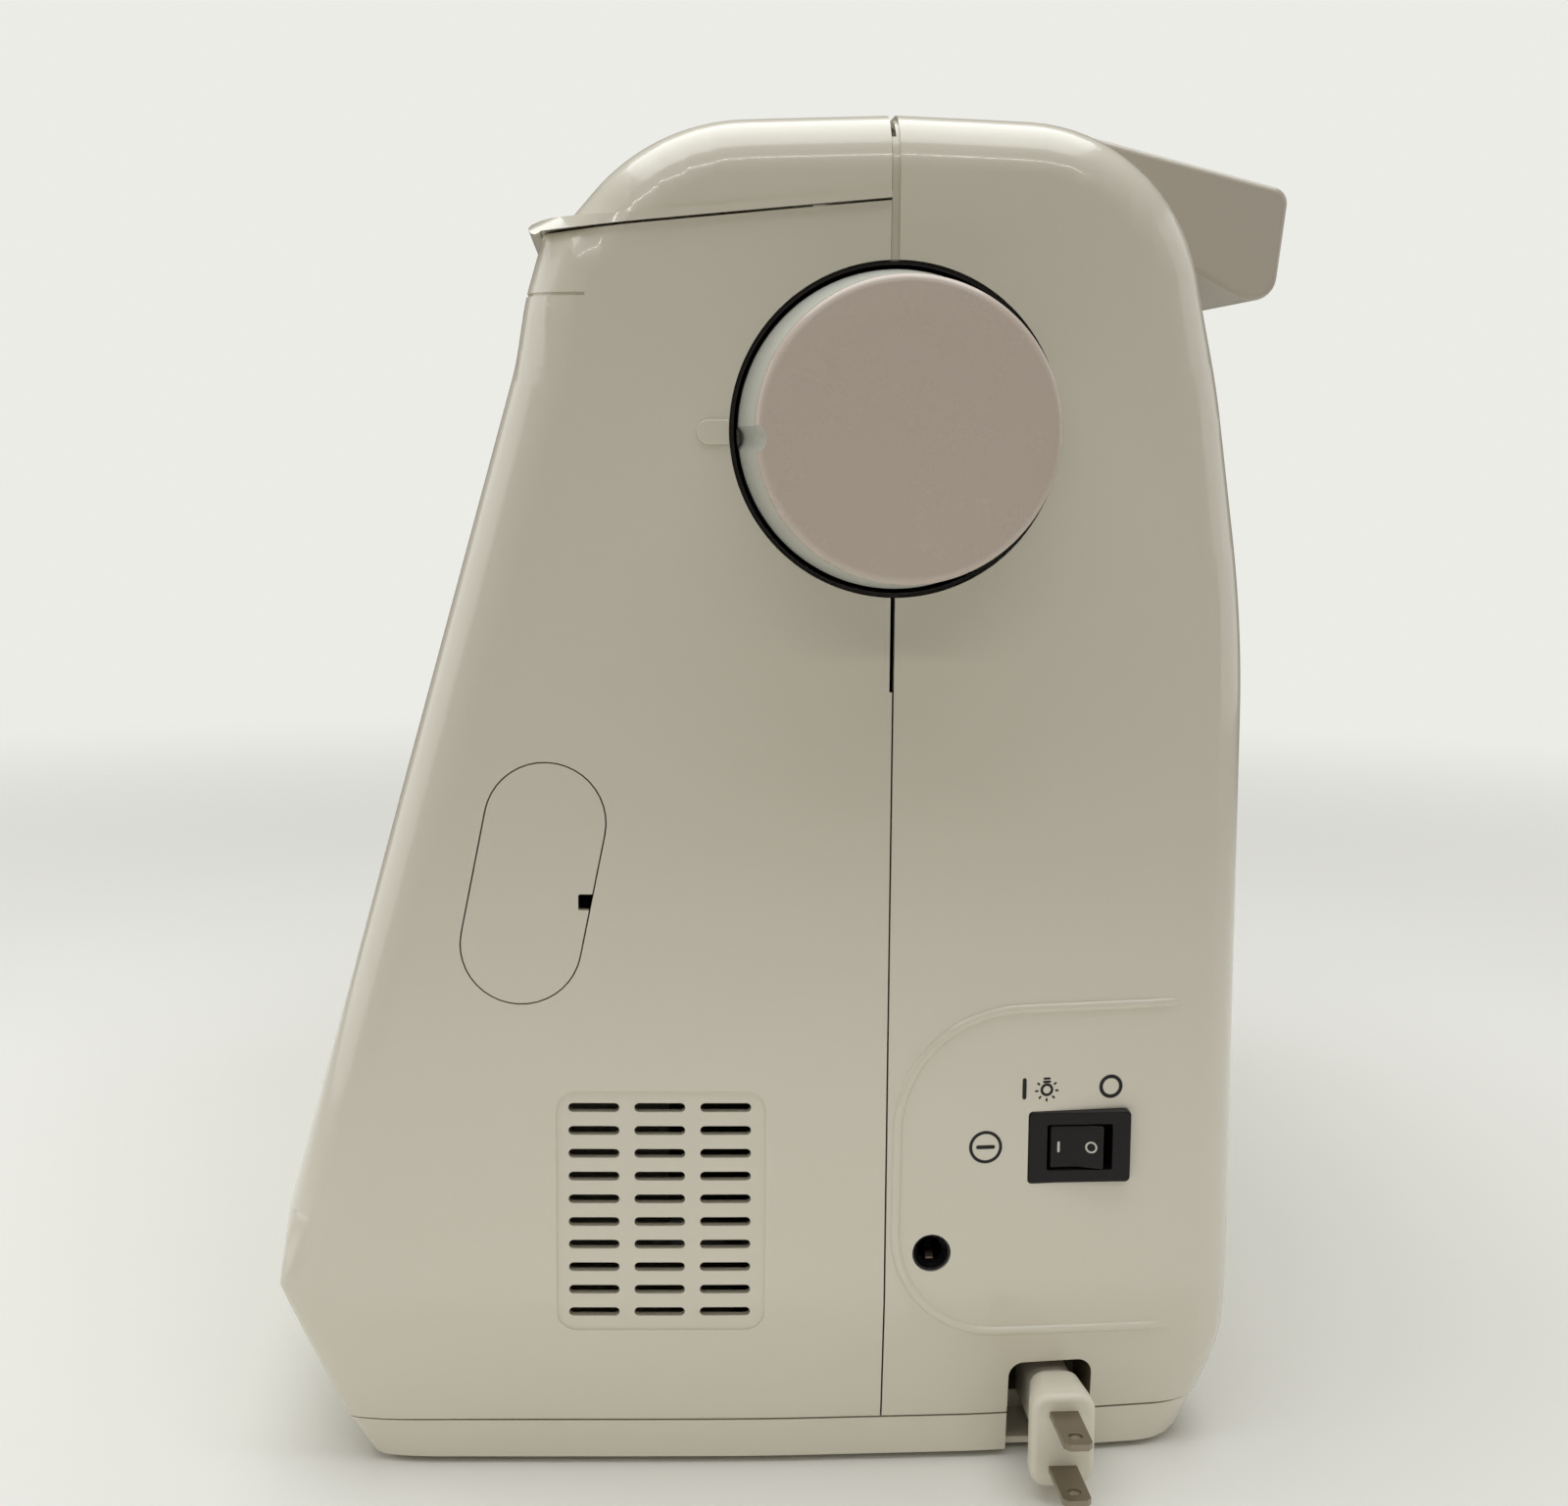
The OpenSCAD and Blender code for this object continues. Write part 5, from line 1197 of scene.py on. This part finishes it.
def make_keys():
    """Four selection keys, each with its own count of printed dots."""
    for index, x in enumerate(KEY_XS):
        node = f"key_{index + 1}"
        key = keep(cad_copy(node, node + "_form"), on_front(block((-20, -0.9, -20), (20, 30, 20)), x, KEYS_Z))
        finish_piece(round_edges(key, 0.4, 40, 4), "controls", node, node, slot="grey_plastic")
        dots = [rod("Y", -0.94, -0.8, (2.0 * (k - index / 2), 0), 0.55, sides=20) for k in range(index + 1)]
        finish_piece(on_front(joined(dots, node + "_dots"), x, KEYS_Z), "ink", node, crease=None)


def triangle(*corners):
    return prism("Y", rounded([(*corner, 0.2) for corner in corners], 3), -4, 4)


def button_mark(body):
    """The parts of a button's printed mark, modelled about the origin."""
    if body == "start_stop":
        return [cut(rod("Y", -4, 4, (0, 0), 2.6, sides=40), rod("Y", -5, 5, (0, 0), 2.0, sides=40)),
                prism("Y", soft_rectangle(0.6, 2.6, 0.2, (0, 1.6)), -4, 4)]
    if body == "reverse":
        return [triangle((-2.4, 0), (1.4, 2.2), (1.4, -2.2))]
    return [triangle((-1.6, side * 0.6), (1.6, side * 0.6), (0, side * 2.6)) for side in (-1, 1)]


def make_buttons():
    """Start, reverse and needle position buttons, with a round dish and a printed mark on each."""
    for body, x in zip(("start_stop", "reverse", "needle_position"), BUTTON_XS):
        node = body + "_button"
        button = round_edges(cad_copy(node, node + "_form"), 0.7, 40, 4)
        deselect()
        bpy.ops.mesh.primitive_uv_sphere_add(segments=64, ring_count=32, radius=30 * MM,
                                             location=(0, -31.6 * MM, 0))
        cut(button, on_front(settle("dish"), x, BUTTONS_Z))
        over, under = moved(copy_of(button, "over"), y=-0.03), moved(copy_of(button, "under"), y=0.05)
        finish_piece(button, "controls", body, node, slot="grey_plastic")
        mark = on_front(joined(button_mark(body), body + "_mark"), x, BUTTONS_Z)
        finish_piece(cut(keep(mark, over), under), "ink", body, crease=None)


def make_slider():
    """The speed slider, with a ribbed thumb piece."""
    slider = cad_copy("speed_slider", "slider_form")
    for z in (-2.6, 0.0, 2.6):
        cut(slider, on_front(rod("X", -6, 6, (-4.7, z), 0.6, sides=20), SLIDER[0] - 12, SLIDER[1]))
    finish_piece(round_edges(slider, 0.35, 45), "controls", "slider", "speed_slider", slot="grey_plastic")


def make_dial():
    """The thread tension dial, with grip grooves round its rim."""
    dial = cad_copy("tension_dial", "dial_form")
    count, reach, middle = 30, 16.4, 11
    grooves = [rod("X", -6, 6, (middle + reach * math.cos(turn), reach * math.sin(turn)), 0.85, sides=12)
               for turn in (math.tau * k / count for k in range(count))]
    cut(dial, on_front(joined(grooves, "grooves"), *DIAL))
    finish_piece(round_edges(dial, 0.2, 60, 2), "controls", "dial", "tension_dial", slot="grey_plastic")


# ---------------------------------------------------------------- thread path

# Node, finish, body, slot, and the width, least angle and segments of its rounded edges
SEWING_FORMS = (
    ("take_up_lever", "shaft", "take_up", "steel"),
    ("presser_lifter", "controls", "lifter", "grey_plastic", 0.9, 50, 4),
    ("presser_foot", "plate", "foot", "steel"),
)
WINDING_FORMS = (
    ("spool_pin", "controls", "root", "grey_plastic", 0.6, 50, 4),
    ("spool_cap", "controls", "spool_cap", "grey_plastic", 1.0, 50, 4),
    ("bobbin_winder", "controls", "winder", "grey_plastic", 0.5),
    ("bobbin", "clear", "bobbin", "clear_plastic", 0.2, 50, 2),
    ("lid_hinge_pins", "pin", "root", "steel", 0.2, 50, 2),
    ("handle_pins", "pin", "handle", "steel", 0.3, 50, 2),
)


def make_thread_path():
    """Take-up lever, presser lifter and foot, needle clamp, spool pin and cap, winder, bobbin and pins."""
    for form in SEWING_FORMS:
        dressed(*form)
    clamp = round_edges(cad_copy("needle_clamp", "clamp"), 0.35, 50)
    x, z = NEEDLE_X + 14, 120.0
    cut(clamp, block((x - 0.9, SHAFT_Y - 3, z - 0.4), (x + 1, SHAFT_Y + 3, z + 0.4)))
    finish_piece(clamp, "plate", "needle_bar", "needle_clamp", slot="steel")
    for form in WINDING_FORMS:
        dressed(*form)


# ---------------------------------------------------------------- what keeps its CAD form

INNER = {
    "cord_reel": "dark", "reel_cord": "cord", "main_frame": "casting", "shaft_bushes": "bush",
    "timing_belt": "belt", "motor_belt": "belt", "drive_motor": "motor", "motor_shaft": "shaft",
    "upper_shaft": "shaft", "lower_shaft": "shaft", "hook": "shaft", "bobbin_case": "dark",
    "feed_lift_bar": "plate", "feed_dogs": "plate", "needle_gate": "casting", "needle_bar": "pin",
    "needle": "pin", "crank_link": "plate", "presser_bar": "pin", "control_board": "board",
}


def finish_inner():
    """Gives the mechanism, which keeps its CAD form, its own materials."""
    for node, finish in INNER.items():
        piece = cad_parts[node]
        if not piece.material_slots:
            piece.data.materials.append(FINISHES[finish])
        for place in piece.material_slots:
            place.material = FINISHES[finish]


# ---------------------------------------------------------------- settings


def length(label, description, default, low, high):
    return bpy.props.FloatProperty(name=label, description=description, default=default, min=low, max=high,
                                   subtype="DISTANCE", unit="LENGTH", precision=4)


def colour(label, description, *shown):
    """A colour whose default is given from 0 to 255."""
    return bpy.props.FloatVectorProperty(name=label, description=description, default=paint(*shown)[:3],
                                         min=0, max=1, size=3, subtype="COLOR")


def power(label, description, default, high):
    return bpy.props.FloatProperty(name=label, description=description, default=default, min=0, max=high,
                                   unit="POWER")


class HousingSizes(bpy.types.PropertyGroup):
    """Sizes of the moulded housing."""

    wall: length("Wall", "Thickness of the moulded walls", 0.0028, 0.002, 0.004)
    edge_radius: length("Edge Radius", "Radius of the housing's edges round both ends", 0.0125, 0.008, 0.015)
    seam_gap: length("Seam Gap", "Width of the dark line between front and rear shell", 0.0004, 0.0003, 0.0015)
    throat_rim: length("Throat Rim", "Radius of the rim where the arm's underside meets front and rear",
                       0.0012, 0.0005, 0.002)


class MachineColours(bpy.types.PropertyGroup):
    """Colours of the plastics."""

    cover: colour("Cover", "Colour of the glossy covers", 222, 218, 203)
    controls: colour("Controls", "Colour of the keys, dials and pins", 205, 207, 198)
    dark: colour("Dark Parts", "Colour of the switch, ring and jack", 27, 25, 27)


class StudioLight(bpy.types.PropertyGroup):
    """Light, floor and lens of the studio."""

    key_power: power("Key Light", "Power of the large soft light above", 19.5, 200)
    side_power: power("Side Lights", "Power of the soft lights before and behind", 3.5, 100)
    tube_power: power("Tube Light", "Power of the thin tube that draws the bright lines along the edges",
                      3.0, 50)
    low_power: power("Low Light", "Power of the strip that lights the lower edge as a pale table does",
                     0.032, 10)
    floor: colour("Floor", "Colour of the floor", 236, 236, 231)
    fill: bpy.props.FloatProperty(
        name="Fill", description="Strength of the even light from all round", default=0.178, min=0, max=3)
    lens: bpy.props.FloatProperty(
        name="Lens", description="Focal length of the camera", default=54.0, min=20, max=200, unit="CAMERA")


# ---------------------------------------------------------------- operators


def build(context, *makers):
    """Runs the makers in turn; the first call also makes the machine's materials."""
    if not FINISHES:
        FINISHES.update(make_finishes(context.scene.sewing_colours))
    for make in makers:
        make()
    return {"FINISHED"}


class SEWING_OT_housing(bpy.types.Operator):
    """Models the front, rear and face shells, the base cover and its feet"""

    bl_idname = "sewing.housing"
    bl_label = "Housing"
    bl_options = {"REGISTER", "UNDO"}

    def execute(self, context):
        return build(context, make_housing, make_base, make_feet)


class SEWING_OT_lid(bpy.types.Operator):
    """Models the top lid with its flared front lip and its knuckles"""

    bl_idname = "sewing.lid"
    bl_label = "Top Lid"
    bl_options = {"REGISTER", "UNDO"}

    def execute(self, context):
        return build(context, make_lid)


class SEWING_OT_handle(bpy.types.Operator):
    """Models the folding carry handle"""

    bl_idname = "sewing.handle"
    bl_label = "Carry Handle"
    bl_options = {"REGISTER", "UNDO"}

    def execute(self, context):
        return build(context, make_handle)


class SEWING_OT_handwheel(bpy.types.Operator):
    """Models the handwheel, the ring round it and the index mark"""

    bl_idname = "sewing.handwheel"
    bl_label = "Handwheel"
    bl_options = {"REGISTER", "UNDO"}

    def execute(self, context):
        return build(context, make_handwheel, make_ring, make_index_mark)


class SEWING_OT_side_details(bpy.types.Operator):
    """Models the service cover, the bead, the printed marks and the pedal jack"""

    bl_idname = "sewing.side_details"
    bl_label = "Side Details"
    bl_options = {"REGISTER", "UNDO"}

    def execute(self, context):
        return build(context, make_service_cover, make_bead, make_marks, make_jack)


class SEWING_OT_switch(bpy.types.Operator):
    """Models the power switch: its bezel, the rocker and the rocker's marks"""

    bl_idname = "sewing.switch"
    bl_label = "Power Switch"
    bl_options = {"REGISTER", "UNDO"}

    def execute(self, context):
        return build(context, make_bezel, make_rocker)


class SEWING_OT_plug(bpy.types.Operator):
    """Models the plug body and its blades"""

    bl_idname = "sewing.plug"
    bl_label = "Plug"
    bl_options = {"REGISTER", "UNDO"}

    def execute(self, context):
        return build(context, make_plug)


class SEWING_OT_bed(bpy.types.Operator):
    """Models the free arm, the accessory table with its lid, and the plates on the bed"""

    bl_idname = "sewing.bed"
    bl_label = "Bed"
    bl_options = {"REGISTER", "UNDO"}

    def execute(self, context):
        return build(context, make_free_arm, make_table, make_plates)


class SEWING_OT_controls(bpy.types.Operator):
    """Models the display, keys, buttons, speed slider and tension dial"""

    bl_idname = "sewing.controls"
    bl_label = "Controls"
    bl_options = {"REGISTER", "UNDO"}

    def execute(self, context):
        return build(context, make_display, make_keys, make_buttons, make_slider, make_dial)


class SEWING_OT_thread_path(bpy.types.Operator):
    """Models the levers, presser foot, clamp, spool pin, winder, bobbin and hinge pins"""

    bl_idname = "sewing.thread_path"
    bl_label = "Thread Path"
    bl_options = {"REGISTER", "UNDO"}

    def execute(self, context):
        return build(context, make_thread_path)


class SEWING_OT_mechanism(bpy.types.Operator):
    """Gives the frame casting, shafts, belts, motor, hook and board their materials"""

    bl_idname = "sewing.mechanism"
    bl_label = "Mechanism Finishes"
    bl_options = {"REGISTER", "UNDO"}

    def execute(self, context):
        return build(context, finish_inner)


# ---------------------------------------------------------------- studio


def make_floor(shown):
    """A wide floor whose paint is a little uneven and fades out towards the backdrop."""
    deselect()
    bpy.ops.mesh.primitive_grid_add(x_subdivisions=8, y_subdivisions=8, size=30.0, location=(0, 0, 0))
    floor = settle("floor")
    finish = Finish("floor_paint", IOR=1.45, Specular_IOR_Level=0.2)
    tone = finish.noise(1.5, 2.0)
    reach = finish.node("ShaderNodeVectorMath", {"operation": "LENGTH"}, {0: finish.place()}, output="Value")
    finish.put(finish.surface.inputs["Alpha"], 1.0 - reach.between(0.45, 1.3))
    floor.data.materials.append(finish.look(finish.mix(tone, shade(shown, 0.99), shown), tone * 0.05 + 0.6))


def soft_light(name, place, target, size, energy, tint=(1, 1, 1)):
    """An area light at a place, looking at a target, all in millimetres."""
    data = bpy.data.lights.new(name, "AREA")
    data.shape, data.size, data.size_y = "RECTANGLE", size[0] * MM, size[1] * MM
    data.energy, data.color = energy, tint
    light = bpy.data.objects.new(name, data)
    bpy.context.scene.collection.objects.link(light)
    light.location = Vector(place) * MM
    light.rotation_euler = (Vector(target) - Vector(place)).to_track_quat("-Z", "Y").to_euler()
    return light


def make_lights(studio):
    """A soft light above, a thin tube, lights before and behind, and a low strip that stays unseen."""
    sides = (0, 0, 150), (1300, 800)
    soft_light("key_light", (0, -20, 1350), (0, 0, 0), (1500, 1600), studio.key_power, (0.94, 0.98, 1.0))
    soft_light("tube_light", (1400, 0, 1150), (186, 0, 200), (1900, 26), studio.tube_power, (1.0, 0.97, 0.92))
    soft_light("front_light", (-150, -1150, 420), *sides, studio.side_power)
    soft_light("rear_light", (-150, 1150, 420), *sides, studio.side_power * 0.6, (1.0, 0.98, 0.99))
    low = soft_light("low_light", (330, 0, 50), (186, 0, 8), (320, 60), studio.low_power, (1.0, 0.96, 0.9))
    low.visible_camera = low.visible_glossy = False


def make_world(studio):
    """Even light for the object, and a plain pale backdrop for the camera."""
    world = bpy.data.worlds.new("studio_world")
    bpy.context.scene.world = world
    world.use_nodes = True
    tree = world.node_tree
    tree.nodes.clear()
    output, mixed, rays = (tree.nodes.new(kind) for kind in (
        "ShaderNodeOutputWorld", "ShaderNodeMixShader", "ShaderNodeLightPath"))
    tree.links.new(rays.outputs["Is Camera Ray"], mixed.inputs["Fac"])
    tree.links.new(mixed.outputs[0], output.inputs["Surface"])
    even, backdrop = ((1.0, 0.865, 0.73, 1), studio.fill), ((*studio.floor, 1), 1.0)
    for place, (tint, strength) in enumerate((even, backdrop), 1):
        background = tree.nodes.new("ShaderNodeBackground")
        background.inputs["Color"].default_value = tint
        background.inputs["Strength"].default_value = strength
        tree.links.new(background.outputs[0], mixed.inputs[place])


def make_camera(studio):
    data = bpy.data.cameras.new("camera")
    data.sensor_fit, data.sensor_width, data.lens = "HORIZONTAL", 36.0, studio.lens
    data.clip_start, data.clip_end = 0.02, 60.0
    camera = bpy.data.objects.new("camera", data)
    bpy.context.scene.collection.objects.link(camera)
    camera.location = Vector((696.25, -44.85, 236.5)) * MM
    camera.rotation_euler = [math.radians(a) for a in (82.169, -0.446, 85.751)]
    bpy.context.scene.camera = camera


class SEWING_OT_studio(bpy.types.Operator):
    """Sets up the floor, the backdrop, the soft lights and the camera"""

    bl_idname = "sewing.studio"
    bl_label = "Studio"
    bl_options = {"REGISTER", "UNDO"}

    def execute(self, context):
        scene, studio = context.scene, context.scene.sewing_studio
        make_floor((*studio.floor, 1))
        make_world(studio)
        make_lights(studio)
        make_camera(studio)
        scene.view_settings.view_transform = "Standard"
        scene.view_settings.look = "None"
        return {"FINISHED"}


# ---------------------------------------------------------------- panel and start


GROUPS = {"sewing_sizes": HousingSizes, "sewing_colours": MachineColours, "sewing_studio": StudioLight}
OPERATORS = (
    SEWING_OT_housing, SEWING_OT_lid, SEWING_OT_handle, SEWING_OT_handwheel, SEWING_OT_side_details,
    SEWING_OT_switch, SEWING_OT_plug, SEWING_OT_bed, SEWING_OT_controls, SEWING_OT_thread_path,
    SEWING_OT_mechanism, SEWING_OT_studio,
)


class SEWING_PT_machine(bpy.types.Panel):
    """The machine's settings, and a button for each of its groups"""

    bl_idname = "SEWING_PT_machine"
    bl_label = "Sewing Machine"
    bl_space_type = "VIEW_3D"
    bl_region_type = "UI"
    bl_category = "Sewing"

    def draw(self, context):
        for name, group in GROUPS.items():
            box = self.layout.box()
            for prop in group.__annotations__:
                box.prop(getattr(context.scene, name), prop)
        for operator in OPERATORS:
            self.layout.operator(operator.bl_idname)


CLASSES = (*GROUPS.values(), *OPERATORS, SEWING_PT_machine)


def register():
    for kind in CLASSES:
        bpy.utils.register_class(kind)
    for name, group in GROUPS.items():
        setattr(bpy.types.Scene, name, bpy.props.PointerProperty(type=group))


def unregister():
    for name in GROUPS:
        delattr(bpy.types.Scene, name)
    for kind in reversed(CLASSES):
        bpy.utils.unregister_class(kind)


def main():
    register()
    bpy.ops.sewing.housing()
    bpy.ops.sewing.lid()
    bpy.ops.sewing.handle()
    bpy.ops.sewing.handwheel()
    bpy.ops.sewing.side_details()
    bpy.ops.sewing.switch()
    bpy.ops.sewing.plug()
    bpy.ops.sewing.bed()
    bpy.ops.sewing.controls()
    bpy.ops.sewing.thread_path()
    bpy.ops.sewing.mechanism()
    bpy.ops.sewing.studio()


if __name__ == "__main__":
    main()
